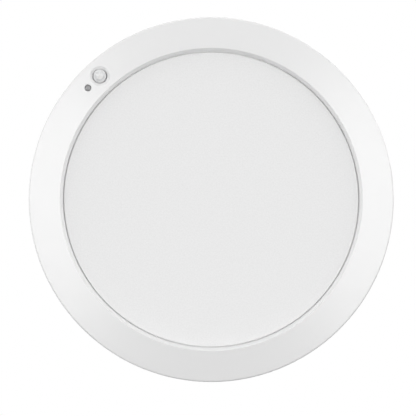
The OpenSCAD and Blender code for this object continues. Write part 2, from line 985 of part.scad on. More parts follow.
module driver_screws() {
    color("gray")
        for (p = driver_posts)
            translate([p.x, p.y, board_front + fit])
                mirror([0, 0, 1])
                    pan_screw(2.3, 1.6, screw_r, 4.8);
}

module transformer() {
    base = board_front + fit;
    side = 14;
    height = 10.2;
    leg = 2.8;
    cheek = 1.6;
    top = 1.8;
    color("goldenrod")
        translate([each transformer_at, 0]) {
            for (y = [-side / 2, side / 2 - leg])
                translate([-side / 2, y, base])
                    cube([side, leg, height]);
            translate([-side / 2, -side / 2, base])
                cube([side, side, cheek]);
            translate([-side / 2, -side / 2, base + height - top])
                cube([side, side, top]);
            translate([0, 0, base + 1])
                cylinder(r = 4.8, h = 8);
        }
}

// Two electrolytic capacitors, lying down
module bulk_capacitors() {
    color("midnightblue") {
        can_x([each large_can_at, board_front + large_can[0] + gap], large_can[0], large_can[1]);
        can_x([each small_can_at, board_front + small_can[0] + gap], small_can[0], small_can[1]);
    }
}

// A rolled can along X, with the groove near its sealed end
module can_x(start, r, length) {
    translate(start)
        rotate([0, 90, 0])
            rotate_extrude()
                polygon(rounded(
                    [
                        [0, 0.4], [r - 1, 0.4], [r - 1, 0], [r, 0], [r, 1.4], [r - 0.5, 2], [r, 2.6],
                        [r, length], [0, length]
                    ],
                    [0, 0, 0.1, 0.3, 0.2, 0.3, 0.2, 0.5, 0]
                ));
}

module film_capacitor() {
    color("gold")
        translate([each film_capacitor_at, 0])
            soft_block([5.6, 12.6, 9.8], 0.5, board_front + fit);
}

module varistor() {
    disc_r = 3.9;
    half_t = 1.8;
    color("steelblue")
        translate([each varistor_at, board_front + disc_r + 0.7])
            rotate([90, 0, 0])
                rotate_extrude()
                    polygon(rounded(
                        [[0, -half_t], [disc_r, -half_t], [disc_r, half_t], [0, half_t]],
                        [0, 1.2, 1.2, 0]
                    ));
}

module fuse() {
    length = 9;
    cap_r = 2.25;
    cap_w = 1.6;
    color("burlywood")
        translate([each fuse_at, board_front + cap_r + 0.15])
            rotate([0, 90, 0]) {
                cylinder(r = cap_r - 0.25, h = length);
                for (z = [0, length - cap_w])
                    translate([0, 0, z])
                        cylinder(r = cap_r, h = cap_w);
            }
}

module choke() {
    base = board_front + fit;
    top = base + 9;
    rim_r = 4.6;
    waist_r = 3.8;
    color("darkslategray")
        translate([each choke_at, 0])
            rotate_extrude()
                polygon([
                    [0, base], [rim_r, base], [rim_r, base + 1.4], [waist_r, base + 1.9],
                    [waist_r, top - 1.9], [rim_r, top - 1.4], [rim_r, top], [0, top]
                ]);
}

// Rectifier, power transistor and controller
module power_chips() {
    color("black") {
        chip([1, -41], [5, 6, 2.6]);
        chip([7, -65], [6.6, 6.1, 2.3]);
        chip([-5, -65], [5, 4, 1.6]);
    }
}

module chip(place, size) {
    translate([each place, 0])
        soft_block(size, 0.3, board_front + fit);
}

// The sockets that the sensor cable and the LED leads enter
module board_sockets() {
    color("ivory") {
        translate([each led_socket, 0])
            soft_block([5, 5.4, 6.5], 0.4, board_front + fit);
        translate([each signal_socket, 0])
            soft_block([4.2, 6.4, 6.6], 0.4, board_front + fit);
    }
}

// Folded sheet between the live board and the earthed tray
module insulating_film() {
    top = tray_back - 0.3;
    sheet_t = 0.35;
    skirt_z = 20;
    color("gainsboro", 0.7)
        translate([each film_corner, 0]) {
            translate([0, 0, top - sheet_t])
                cube([each film_size, sheet_t]);
            for (x = [0, film_size.x - sheet_t])
                translate([x, 0, skirt_z])
                    cube([sheet_t, film_size.y, top - skirt_z]);
        }
}

// Red and black leads to the LED strip
module led_leads() {
    color("firebrick")
        for (s = [-1, 1]) {
            entry = polar(tray_in_r + 0.9, lead_angle + 1.1 * s);
            start = led_socket + [1.2 * s, -2.7 - fit];
            lead([
                [each start, led_lead_z],
                [start.x, start.y - 3, led_lead_z],
                [each entry, led_lead_z],
                [each entry, sheet_front + 1.5]
            ], 0.6);
        }
}

// ---- Supply terminal ----

module terminal_block() {
    face = terminal_corner.z;
    color("whitesmoke")
        difference() {
            translate(terminal_corner)
                cube(terminal_size);
            for (i = [0:poles - 1]) {
                translate([pole_x(i) - 1.6, terminal_corner.y - 1, face + 4])
                    cube([3.2, 9, 3.4]);
                translate([pole_x(i), button_y, 0])
                    soft_block([button_size.x + 0.3, button_size.y + 0.3, 6], 0.4, face - 1);
                translate([pole_x(i), hinge_y - 4, pole_level])
                    rotate([-90, 0, 0])
                        cylinder(r = lead_r + fit, h = 4, $fn = 32);
            }
            for (s = [-0.5, 0.5])
                translate([s * pole_pitch - 0.3, terminal_corner.y - 1, face - 1])
                    cube([0.6, terminal_size.y + 2, 1.8]);
        }
}

// Release button of one pole, which travels into the block
module terminal_button(i) {
    face = terminal_corner.z;
    color("orange")
        translate([pole_x(i), button_y, 0])
            difference() {
                soft_block(button_size, 0.35, face - button_proud);
                translate([-1.2, -0.35, face - button_proud - 1])
                    cube([2.4, 0.7, 1.5]);
            }
}

// Lid over the terminal, hinged on two trunnions moulded into its upper edge
module terminal_cover() {
    half = comp_x - 0.3;
    color("white")
        difference() {
            union() {
                translate([-half, cover_y0 + 0.3, recess_z])
                    cube([2 * half, hinge_y - cover_y0 - 0.3, cover_t]);
                translate([0, hinge_y, hinge_z])
                    rotate([0, 90, 0])
                        cylinder(r = hinge_barrel_r, h = 2 * half, center = true);
                translate([0, hinge_y, hinge_z])
                    rotate([0, 90, 0])
                        cylinder(r = hinge_pin_r, h = 2 * comp_x + 2, center = true, $fn = 40);
                for (s = [-1, 1])
                    translate([s * 18 - 0.6, cover_y0 + 1.5, recess_z + cover_t - 0.2])
                        cube([1.2, 20, 1.4]);
                translate([-18, cover_y0 + 1.5, recess_z + cover_t - 0.2])
                    cube([36, 1.2, 1.4]);
            }
            translate([0, cover_y0 - 2.4, recess_z - 1])
                cylinder(r = 5, h = 2.1);
            for (i = [-3:3])
                translate([i * 1.6 - 0.35, cover_y0 + 4.4, recess_z - 1])
                    cube([0.7, 5, 1.4]);
        }
}

// Rubber bush that the supply cable comes through
module cable_grommet() {
    hole = grommet_hole_r - fit;
    color("dimgray")
        translate([0, grommet_y, 0])
            rotate_extrude()
                polygon(rounded(
                    [
                        [cable_hole_r, recess_z - 1.3], [hole + 1.4, recess_z - 1.3],
                        [hole + 1.4, recess_z - fit], [hole, recess_z - fit], [hole, recess_in + fit],
                        [hole + 1, recess_in + fit], [hole + 0.4, recess_in + 1.4],
                        [cable_hole_r, recess_in + 1.4]
                    ],
                    [0, 0.5, 0.1, 0, 0, 0.1, 0.4, 0]
                ));
}

// Live and neutral leads, over the compartment and down to the board
module supply_leads() {
    live_x = -27;
    neutral_x = -30;
    over_y = lead_exit_y + 4;
    color("saddlebrown")
        lead(concat(lead_start(0), [
            [live_x, lead_exit_y, lead_z], [live_x, lead_land_y, lead_z],
            [live_x, lead_land_y, board_front + fit]
        ]), lead_r);
    color("royalblue")
        lead(concat(lead_start(1), [
            [pole_x(1), over_y, lead_z], [neutral_x, over_y, lead_z],
            [neutral_x, lead_land_y, lead_z], [neutral_x, lead_land_y, board_front + fit]
        ]), lead_r);
}

// The first points of a lead: inside the terminal, out of it, and up through the compartment's front
function lead_start(i) = [
    [pole_x(i), hinge_y - 3.5, pole_level],
    [pole_x(i), lead_exit_y, pole_level],
    [pole_x(i), lead_exit_y, lead_z]
];

// Earth lead, with a ring tag under a screw in the tray
module earth_lead() {
    tag_t = 0.8;
    tag_back = tray_back - fit - tag_t;
    color("yellowgreen") {
        lead(concat(lead_start(2), [
            [earth_point.x, lead_exit_y + 8, lead_z], [earth_point.x, earth_point.y - 5, tag_back]
        ]), lead_r);
        difference() {
            union() {
                translate([each earth_point, tag_back])
                    cylinder(r = 3.2, h = tag_t);
                translate([earth_point.x - 1.5, earth_point.y - 7, tag_back])
                    cube([3, 6, tag_t]);
            }
            translate([each earth_point, tag_back - 1])
                cylinder(r = 1.6, h = tag_t + 2);
        }
    }
}

module earth_screw() {
    color("forestgreen")
        translate([each earth_point, tray_back - 0.95])
            pan_screw(2.7, 1.6, 1.5, 3);
}

// ---- Setting switches ----

module switch_board() {
    color("seagreen")
        difference() {
            translate([-26.5, switch_y - 7, board_back])
                cube([53, 14, pcb_t]);
            for (p = switch_posts)
                translate([p.x, p.y, board_back - 1])
                    cylinder(r = 1.2, h = pcb_t + 2, $fn = 40);
        }
}

module switch_screws() {
    color("gray")
        for (p = switch_posts)
            translate([p.x, p.y, board_front + fit])
                mirror([0, 0, 1])
                    pan_screw(1.9, 1.4, small_screw_r, 5);
}

// Looped ribbon between the two boards
module switch_cable() {
    strand_pitch = 1.27;
    loop_r = 4;
    middle_y = -74.6;
    color("lightgray")
        for (i = [-2:2])
            translate([strand_pitch * i, middle_y, board_front + fit])
                rotate([90, 0, 90])
                    rotate_extrude(angle = 180)
                        translate([loop_r, 0])
                            circle(r = 0.5, $fn = 24);
}

// Body of the three-position colour temperature selector
module colour_switch() {
    face = panel_depth + panel_t + fit;
    color("silver")
        translate([colour_x, switch_y, 0])
            difference() {
                soft_block([13, 6.6, board_back - fit - face], 0.3, face);
                translate([-colour_travel - 1.5, -1.5, face - 1])
                    cube([2 * colour_travel + 3, 3, 2.5]);
            }
}

// Its knob, which slides along X
module colour_slider() {
    knob = 2.8;
    knob_back = 3.2;
    knob_front = panel_depth + panel_t + fit + 1.3;
    color("black")
        translate([colour_x, switch_y, 0])
            difference() {
                soft_block([knob, knob, knob_front - knob_back], 0.3, knob_back);
                for (x = [-0.9, -0.1, 0.7])
                    translate([x, -2, 3])
                        cube([0.25, 4, 0.45]);
            }
}

// Body of the block of small switches, each with its own slot
module dip_switch() {
    color("firebrick")
        translate([dip_x, switch_y, 0])
            difference() {
                soft_block([10.2, 6.2, board_back - fit - dip_face], 0.25, dip_face);
                for (i = [0:dip_count - 1])
                    translate([dip_offset(i) - 0.75, -1.9, dip_face - 1])
                        cube([1.5, 3.8, 2.4]);
            }
}

function dip_offset(i) = (i - (dip_count - 1) / 2) * dip_pitch;

// One small slider, at the lower end of its slot
module dip_slider(i) {
    color("white")
        translate([dip_x + dip_offset(i), switch_y - dip_travel / 2, 0])
            soft_block([1.3, 1.7, 2], 0.2, dip_face - 0.7);
}

to_row() mounting_plate();
to_row() lock_studs();
to_row() lock_spring();
to_row() front_bezel();
to_row() diffuser();
to_row() diffuser_seal();
to_row() light_guide();
to_row() reflector_sheet();
to_row() foam_pad();
to_row() led_strip();
to_row() led_chips();
to_row() heat_sink_tray();
to_row() tray_screws();
to_row() rear_housing();
to_row() housing_screws();
to_row() wall_gasket();
to_row() pir_lens();
to_row() pir_detector();
to_row() light_pipe();
to_row() light_cell();
to_row() sensor_holder();
to_row() sensor_board();
to_row() sensor_screws();
to_row() sensor_plug();
to_row() sensor_cable();
to_row() driver_board();
to_row() driver_screws();
to_row() transformer();
to_row() bulk_capacitors();
to_row() film_capacitor();
to_row() varistor();
to_row() fuse();
to_row() choke();
to_row() power_chips();
to_row() board_sockets();
to_row() insulating_film();
to_row() led_leads();
to_row() terminal_block();
to_row() terminal_button(0);  // terminal_button_live
to_row() terminal_button(1);  // terminal_button_neutral
to_row() terminal_button(2);  // terminal_button_earth
to_row() terminal_cover();
to_row() cable_grommet();
to_row() supply_leads();
to_row() earth_lead();
to_row() earth_screw();
to_row() switch_board();
to_row() switch_screws();
to_row() switch_cable();
to_row() colour_switch();
to_row() colour_slider();
to_row() dip_switch();
to_row() dip_slider(0);  // dip_slider_1
to_row() dip_slider(1);  // dip_slider_2
to_row() dip_slider(2);  // dip_slider_3
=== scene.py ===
"""The looks of a round light with a built-in motion sensor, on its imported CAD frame.

The row frame has the wall at Y = 0, the face along -Y and Z up, in metres.
"""

from math import atan2, copysign, cos, degrees, hypot, pi, radians, sin, sqrt, tan

import bmesh
import bpy
from mathutils import Matrix, Vector, noise


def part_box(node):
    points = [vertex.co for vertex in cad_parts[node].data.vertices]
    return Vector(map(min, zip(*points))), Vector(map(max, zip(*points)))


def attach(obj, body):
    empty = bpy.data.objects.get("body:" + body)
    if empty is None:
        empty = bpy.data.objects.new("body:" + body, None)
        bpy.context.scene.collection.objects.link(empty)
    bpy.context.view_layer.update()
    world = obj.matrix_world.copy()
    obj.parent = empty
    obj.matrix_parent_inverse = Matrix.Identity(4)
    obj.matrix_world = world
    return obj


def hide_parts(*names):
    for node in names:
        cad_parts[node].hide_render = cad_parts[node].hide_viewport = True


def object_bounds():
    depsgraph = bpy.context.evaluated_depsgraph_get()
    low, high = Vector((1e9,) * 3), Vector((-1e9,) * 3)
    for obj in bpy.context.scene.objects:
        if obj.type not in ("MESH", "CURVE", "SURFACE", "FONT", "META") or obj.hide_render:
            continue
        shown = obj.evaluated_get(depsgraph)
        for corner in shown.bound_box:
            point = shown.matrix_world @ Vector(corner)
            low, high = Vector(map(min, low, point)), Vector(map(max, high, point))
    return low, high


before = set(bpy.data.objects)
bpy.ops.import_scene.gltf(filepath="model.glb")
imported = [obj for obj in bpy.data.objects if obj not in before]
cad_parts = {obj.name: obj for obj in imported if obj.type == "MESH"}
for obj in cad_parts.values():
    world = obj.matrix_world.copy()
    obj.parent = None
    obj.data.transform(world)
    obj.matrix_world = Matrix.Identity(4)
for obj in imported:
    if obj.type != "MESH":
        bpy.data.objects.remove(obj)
CAD_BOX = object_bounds()

# Without a seed, the wires' waviness would follow the clock
noise.seed_set(7)

MM = 0.001
LAMP_D = (CAD_BOX[1].x - CAD_BOX[0].x) / MM

# The lamp's own frame, in millimetres, placed in the row frame, in metres
TO_ROW = Matrix(((MM, 0, 0, 0), (0, 0, -MM, 0), (0, MM, 0, 0), (0, 0, 0, 1)))

# Camera: the share of the lamp's diameter that the frame is wide, and how far the lamp is off its centre
FRAME_WIDTH = 1.1396
OFF_CENTRE = (-0.0089, -0.0235)
CAMERA_DISTANCE = 1.5

# Studio light seen by the object: (azimuth, elevation), inner and outer edge in degrees, strength.
# Azimuth 0 is behind the camera, positive is to the right.
AMBIENT = 0.01
SOFTBOXES = [
    ((20, 0), 10, 20, 4.0),
    ((-20, 0), 10, 20, 4.0),
    ((0, 65), 10, 40, 0.87),
    ((0, 84), 6, 30, 1.56),
    ((0, -65), 10, 40, 0.14),
    ((75, 0), 10, 45, 1.79),
    ((-75, 0), 10, 45, 1.79),
    ((150, 35), 15, 45, 1.7),
    ((-145, 20), 15, 50, 1.0),
]

# Greys of the pieces seen in the photo
BEZEL_TONE = 0.80
DIFFUSER_TONE = 0.82
LENS_TONE = 0.80

# The bezel's slope, how far the lens stands out of it, and the way out from the lamp's axis at the sensor
BEZEL_SLOPE = 10
LENS_PROUD = 1.3
SENSOR_ANGLE = 135

# The bezel's openings: the CAD node in each, the hole's radius, and the countersink's depth and flare
OPENINGS = (("pir_lens", 4.55, 1.4, 1.2), ("light_pipe", 1.95, 0.5, 1.0))

# Points of a CAD mesh closer than this are joined
WELD = 0.002 * MM

FLOOR_GAP = 0.3
FLOOR_CLEAR_R = 0.35
FLOOR_FADE_R = 1.1


# ---- Node graphs ----

def rgb(*values):
    """A node colour from one grey value or from three values."""
    r, g, b = values if len(values) == 3 else values * 3
    return (r, g, b, 1.0)


class Nodes:
    """A node tree, built from nothing."""

    def __init__(self, tree):
        self.tree = tree
        tree.nodes.clear()

    def node(self, kind, values=None, **settings):
        """Adds a node. Each value is set on an input, or linked to it where it is another node's output."""
        made = self.tree.nodes.new(kind)
        for key, value in settings.items():
            setattr(made, key, value)
        for key, value in (values or {}).items():
            if isinstance(value, bpy.types.NodeSocket):
                self.tree.links.new(value, made.inputs[key])
            else:
                made.inputs[key].default_value = value
        return made

    def math(self, operation, a, b=0.0, clamp=False):
        return self.node("ShaderNodeMath", {0: a, 1: b}, operation=operation, use_clamp=clamp).outputs[0]

    def add(self, a, b):
        return self.math("ADD", a, b)

    def less(self, a, b):
        return self.math("SUBTRACT", a, b)

    def times(self, a, b):
        return self.math("MULTIPLY", a, b)

    def dot(self, a, b):
        return self.node("ShaderNodeVectorMath", {0: a, 1: b}, operation="DOT_PRODUCT").outputs["Value"]

    def band(self, value, low, high, to_low=0.0, to_high=1.0):
        """A smooth step of value, from to_low at low to to_high at high."""
        values = {"Value": value, "From Min": low, "From Max": high, "To Min": to_low, "To Max": to_high}
        return self.node("ShaderNodeMapRange", values, interpolation_type="SMOOTHSTEP").outputs[0]


class Graph(Nodes):
    """One material's nodes. Sizes are in millimetres, on the piece's own surface."""

    def __init__(self, name):
        self.material = bpy.data.materials.new(name)
        self.material.use_nodes = True
        super().__init__(self.material.node_tree)
        self.place = self.node("ShaderNodeTexCoord").outputs["Object"]

    def parts(self):
        """The place's three coordinates."""
        return self.node("ShaderNodeSeparateXYZ", {0: self.place}).outputs

    def stretched(self, x, y, z):
        """The place, stretched along each axis, for a grain that runs one way."""
        return self.node("ShaderNodeVectorMath", {0: self.place, 1: (x, y, z)}, operation="DIVIDE").outputs[0]

    def noise(self, size, detail=3.0, roughness=0.5, place=None):
        values = {"Vector": place or self.place, "Scale": 1 / (size * MM)}
        values.update({"Detail": detail, "Roughness": roughness})
        return self.node("ShaderNodeTexNoise", values).outputs["Fac"]

    def cells(self, size):
        """Distance from the nearest of scattered points, as a share of size."""
        values = {"Vector": self.place, "Scale": 1 / (size * MM)}
        return self.node("ShaderNodeTexVoronoi", values).outputs["Distance"]

    def mix(self, share, a, b):
        """Colour a where share is 0, and b where it is 1."""
        return self.node("ShaderNodeMix", {0: share, 6: a, 7: b}, data_type="RGBA").outputs[2]

    def shade(self, colour, value, low, high):
        """The colour, darkened or lightened from low to high as value goes from 0 to 1."""
        grey = self.band(value, 0, 1, low, high)
        colour = colour if isinstance(colour, bpy.types.NodeSocket) else colour[:3]
        return self.node("ShaderNodeVectorMath", {0: colour, "Scale": grey}, operation="SCALE").outputs[0]

    def radius(self):
        """Distance from the lamp's axis, in millimetres."""
        x, _, z = self.parts()
        return self.math("DIVIDE", self.reach(x, z), MM)

    def reach(self, a, b):
        """The length of the vector (a, b)."""
        return self.math("SQRT", self.add(self.times(a, a), self.times(b, b)))

    def edges(self, width):
        """1 on edges that a hand or a tool wears, fading to 0 within width of them."""
        rounded = self.node("ShaderNodeBevel", {"Radius": width * MM}, samples=4).outputs[0]
        flat = self.node("ShaderNodeNewGeometry").outputs["Normal"]
        return self.band(self.less(1.0, self.dot(rounded, flat)), 0.01, 0.2)

    def bump(self, height, depth, rounding=0.0):
        """A normal from height, whose full range is depth millimetres, on edges rounded by rounding."""
        values = {"Height": height, "Distance": depth * MM, "Strength": 1.0}
        if rounding:
            values["Normal"] = self.node("ShaderNodeBevel", {"Radius": rounding * MM}, samples=4).outputs[0]
        return self.node("ShaderNodeBump", values).outputs[0]

    def surface(self, base, rough, normal=None, **values):
        """The finished material, as one Principled surface. Another input's name has _ for each space."""
        named = {"Base Color": base, "Roughness": rough}
        if normal is not None:
            named["Normal"] = normal
        named.update((key.replace("_", " "), value) for key, value in values.items())
        shader = self.node("ShaderNodeBsdfPrincipled", named)
        self.node("ShaderNodeOutputMaterial", {"Surface": shader.outputs[0]})
        return self.material

    def soaked(self, base, rough, normal, share, depths):
        """A surface that a share of the light soaks into, to a depth for red, green and blue."""
        reach = tuple(depth * MM for depth in depths)
        return self.surface(
            base, rough, normal, Subsurface_Weight=share, Subsurface_Radius=reach, Subsurface_Scale=1.0,
        )


# ---- Materials ----

def moulded(name, colour, roughness=0.4, grain=0.35, depth=0.004, wear=0.05, rounding=0.12):
    """Injection-moulded plastic: a fine spark-eroded grain, uneven tone, faint scuffs and polished edges."""
    g = Graph(name)
    tone = g.noise(38, 2)
    fine = g.noise(grain, 2, 0.6)
    scuffs = g.band(g.noise(5, 4, 0.7, g.stretched(1, 1, 5)), 0.62, 0.75)
    worn = g.edges(0.3)
    base = g.shade(g.shade(rgb(*colour), tone, 0.985, 1.012), fine, 0.985, 1.01)
    base = g.mix(g.times(worn, wear), base, rgb(*[c * 0.8 + 0.2 for c in colour]))
    rough = g.add(g.band(fine, 0.3, 0.7, roughness - 0.03, roughness + 0.05), g.times(scuffs, 0.08))
    rough = g.less(rough, g.times(worn, 0.08))
    return g.surface(base, rough, g.bump(fine, depth, rounding))


def front_moulding(name):
    """The bezel's satin white, with a skirt that has yellowed a little where it meets the wall."""
    g = Graph(name)
    fine = g.noise(0.5, 2, 0.6)
    tone = g.noise(60, 2)
    back = g.band(g.math("DIVIDE", g.parts()[1], -MM), 14, 1, 0.0, 0.5)
    base = g.mix(g.times(back, tone), rgb(BEZEL_TONE), rgb(0.72, 0.71, 0.67))
    base = g.shade(base, tone, 0.994, 1.006)
    worn = g.edges(0.25)
    rough = g.less(g.band(g.noise(9, 4, 0.65), 0.25, 0.8, 0.19, 0.27), g.times(worn, 0.05))
    return g.surface(base, rough, g.bump(fine, 0.0008, 0.1), Specular_IOR_Level=0.62)


def opal(name):
    """Matte opal sheet with a fine prismatic grain."""
    g = Graph(name)
    fine = g.noise(0.9, 2, 0.65)
    pits = g.cells(0.55)
    base = g.shade(rgb(DIFFUSER_TONE), fine, 0.948, 1.052)
    rough = g.band(pits, 0.1, 0.7, 0.62, 0.74)
    return g.surface(base, rough, g.bump(g.add(fine, pits), 0.006), Specular_IOR_Level=0.35)


def metal(name, colour, roughness=0.32, wear=0.3, grain="cast", spots=None):
    """Plated or bare metal. Grain is "turned" for rings round the axis, "drawn" for lines, or "cast"."""
    g = Graph(name)
    if grain == "turned":
        r = g.radius()
        lines = g.noise(1000, 2, 0.6, g.node("ShaderNodeCombineXYZ", {0: g.times(r, 4.0)}).outputs[0])
    elif grain == "drawn":
        lines = g.noise(0.25, 3, 0.65, g.stretched(18, 1, 1))
    else:
        lines = g.noise(0.6, 3, 0.6)
    cloud = g.noise(9, 3, 0.6)
    worn = g.edges(0.25)
    base = g.shade(g.shade(rgb(*colour), cloud, 0.9, 1.06), lines, 0.94, 1.04)
    if spots:
        base = g.mix(g.times(g.band(g.noise(3, 4, 0.7), 0.6, 0.72), 0.35), base, rgb(*spots))
    base = g.mix(g.times(worn, wear), base, rgb(0.88))
    rough = g.band(lines, 0.25, 0.75, roughness - 0.06, roughness + 0.08)
    rough = g.add(rough, g.band(cloud, 0.4, 0.8, 0.0, 0.06))
    return g.surface(base, rough, g.bump(lines, 0.004, 0.08), Metallic=1.0)


def tin(name):
    """Tinned legs and pins."""
    return metal(name, (0.70, 0.70, 0.69), 0.25, 0.2)


def solder(name):
    return metal(name, (0.70, 0.70, 0.70), 0.24, 0.1)


def foam(name, colour, pore=0.5, depth=0.12, skin=0.5):
    """Cellular foam: open pores of two sizes under a thin skin that has rubbed through in patches."""
    g = Graph(name)
    pores = g.band(g.cells(pore), 0.05, 0.55)
    small = g.band(g.cells(pore * 0.4), 0.05, 0.6)
    patches = g.band(g.noise(12, 3), 0.45, 0.62, 1.0, skin)
    height = g.add(g.times(pores, patches), g.times(small, 0.35))
    # The colour darkens with the pores' depth: painted shade in the pores.
    base = g.shade(g.shade(rgb(*colour), height, 0.6, 1.1), g.noise(25, 2), 0.9, 1.08)
    rough = g.band(pores, 0, 1, 0.95, 0.82)
    return g.surface(base, rough, g.bump(height, depth), Specular_IOR_Level=0.2, Sheen_Weight=0.15)


def rubber(name, colour, roughness=0.55):
    """Moulded rubber with bloom: a pale dust that collects in patches, rubbed off on edges."""
    g = Graph(name)
    fine = g.noise(0.3, 3, 0.6)
    bloom = g.times(g.band(g.noise(4, 4, 0.6), 0.4, 0.7), 0.35)
    bloom = g.math("SUBTRACT", bloom, g.times(g.edges(0.3), 0.3), clamp=True)
    base = g.mix(bloom, g.shade(rgb(*colour), fine, 0.85, 1.15), rgb(*[c * 0.6 + 0.16 for c in colour]))
    rough = g.band(fine, 0.2, 0.8, roughness, roughness + 0.15)
    return g.surface(base, rough, g.bump(fine, 0.012, 0.1))


def insulation(name, colour, roughness=0.42):
    """Extruded wire insulation, with faint draw lines and scuffs."""
    g = Graph(name)
    lines = g.noise(0.35, 2, 0.5, g.stretched(1, 1, 6))
    scuffs = g.band(g.noise(1.4, 4, 0.7), 0.58, 0.72)
    base = g.shade(rgb(*colour), lines, 0.9, 1.06)
    base = g.mix(g.times(scuffs, 0.12), base, rgb(0.75))
    rough = g.add(g.band(lines, 0.2, 0.8, roughness - 0.06, roughness + 0.04), g.times(scuffs, 0.15))
    return g.surface(base, rough, g.bump(lines, 0.01))


def circuit_board(name):
    """Green solder mask over copper tracks that turn corners, with plated vias and a faint weave below."""
    g = Graph(name)
    x, _, z = g.parts()
    kink = g.times(g.band(g.noise(14, 0), 0.35, 0.65), 5 * MM)
    across = g.add(z, kink)
    along = g.add(x, g.times(g.band(g.noise(17, 0), 0.4, 0.6), 6 * MM))

    def tracks(value, pitch, share):
        wave = g.math("PINGPONG", g.math("DIVIDE", value, pitch * MM), 0.5)
        return g.band(wave, 0.5 - share, 0.5 - share + 0.06)

    choose = g.band(g.noise(11, 0), 0.49, 0.51)
    rows, columns = tracks(across, 1.9, 0.2), tracks(along, 2.3, 0.18)
    lines = g.node("ShaderNodeMix", {0: choose, 2: rows, 3: columns}).outputs[0]
    pours = g.band(g.noise(16, 1, 0.4), 0.56, 0.58)
    copper = g.math("MAXIMUM", lines, pours)
    via = g.cells(4.6)
    plated = g.band(via, 0.13, 0.11)
    hole = g.band(via, 0.06, 0.05)
    threads = [g.math("SINE", g.math("DIVIDE", way, 0.12 * MM)) for way in (x, z)]
    weave = g.times(*threads)
    mask = g.mix(copper, rgb(0.012, 0.10, 0.035), rgb(0.03, 0.20, 0.07))
    mask = g.shade(mask, g.noise(20, 2), 0.85, 1.12)
    base = g.mix(plated, mask, rgb(0.72, 0.70, 0.64))
    # The via holes are painted near-black: painted shade where the open holes would be.
    base = g.mix(hole, base, rgb(0.02))
    height = g.add(g.times(copper, 0.8), g.times(weave, 0.08))
    rough = g.band(g.noise(2, 3), 0.3, 0.7, 0.24, 0.36)
    return g.surface(base, rough, g.bump(height, 0.03, 0.05), Metallic=g.times(plated, 0.9))


def clear_plastic(name, colour, roughness, thin=0.0):
    """Clear or smoked plastic with polishing lines and dust caught on its surface."""
    g = Graph(name)
    dust = g.band(g.cells(1.1), 0.06, 0.03)
    haze = g.noise(4, 4, 0.65)
    base = g.mix(g.times(dust, 0.3), g.shade(rgb(*colour), haze, 0.94, 1.03), rgb(0.8))
    rough = g.add(g.band(haze, 0.3, 0.8, roughness, roughness + 0.1), g.times(dust, 0.3))
    return g.surface(base, rough, g.bump(haze, 0.003, 0.06), Transmission_Weight=1.0 - thin, IOR=1.49)


def milky(name):
    """Infrared lens film: milky polyethylene that light soaks into."""
    g = Graph(name)
    fine = g.noise(0.4, 3, 0.6)
    base = g.shade(rgb(LENS_TONE), fine, 0.97, 1.02)
    rough = g.band(fine, 0.3, 0.7, 0.33, 0.45)
    return g.soaked(base, rough, g.bump(fine, 0.003), 0.35, (0.9, 0.85, 0.8))


def phosphor(name):
    """Clouded silicone full of yellow phosphor, a little uneven, as it was dropped in."""
    g = Graph(name)
    cloud = g.noise(0.8, 3)
    grains = g.cells(0.12)
    base = g.shade(g.shade(rgb(0.80, 0.56, 0.08), cloud, 0.88, 1.08), grains, 0.94, 1.04)
    rough = g.band(cloud, 0.3, 0.7, 0.2, 0.32)
    return g.soaked(base, rough, g.bump(grains, 0.006), 0.2, (0.3, 0.2, 0.1))


# ---- Meshes ----

def own_box(node):
    """A CAD node's lowest and highest corners in the lamp's own frame, in millimetres."""
    low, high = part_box(node)
    return Vector((low.x, low.z, -high.y)) / MM, Vector((high.x, high.z, -low.y)) / MM


def middle(node):
    return extent(node)[1]


def extent(node):
    """A CAD node's lowest corner, middle and highest corner."""
    low, high = own_box(node)
    return low, (low + high) / 2, high


def polar(r, turn, z=0.0):
    """The point r from the lamp's axis, at turn degrees, on level z."""
    angle = radians(turn)
    return Vector((r * cos(angle), r * sin(angle), z))


def rounded_path(points, bend, steps=6):
    """The points, with each corner between two straight runs turned into an arc of radius bend."""
    points = [Vector(p) for p in points]
    path = [points[0]]
    for before, corner, after in zip(points, points[1:], points[2:]):
        u, v = (before - corner).normalized(), (after - corner).normalized()
        half = u.angle(v) / 2
        if abs(half - pi / 2) < 1e-3:
            continue
        reach = min(bend / tan(half), (before - corner).length * 0.48, (after - corner).length * 0.48)
        for i in range(steps + 1):
            t = i / steps
            path.append(corner + u * reach * (1 - t) ** 2 + v * reach * t ** 2)
    return path + [points[-1]]


def rounded_box(mid, half_x, half_y, r, steps=6):
    """The outline of a rectangle with rounded corners round a middle, as (x, y) points."""
    corners = ((1, 1, 0), (-1, 1, 90), (-1, -1, 180), (1, -1, 270))
    return [
        (mid.x + (sx * (half_x - r) + r * cos(a)), mid.y + (sy * (half_y - r) + r * sin(a)))
        for sx, sy, start in corners
        for a in (radians(start + 90 * i / steps) for i in range(steps + 1))
    ]


# Turns of a lathed shape, whose own axis is Z
ALONG_Z = Matrix.Identity(3)
ALONG_X = Matrix(((0, 0, 1), (0, 1, 0), (-1, 0, 0)))
ALONG_Y = Matrix(((1, 0, 0), (0, 0, 1), (0, -1, 0)))


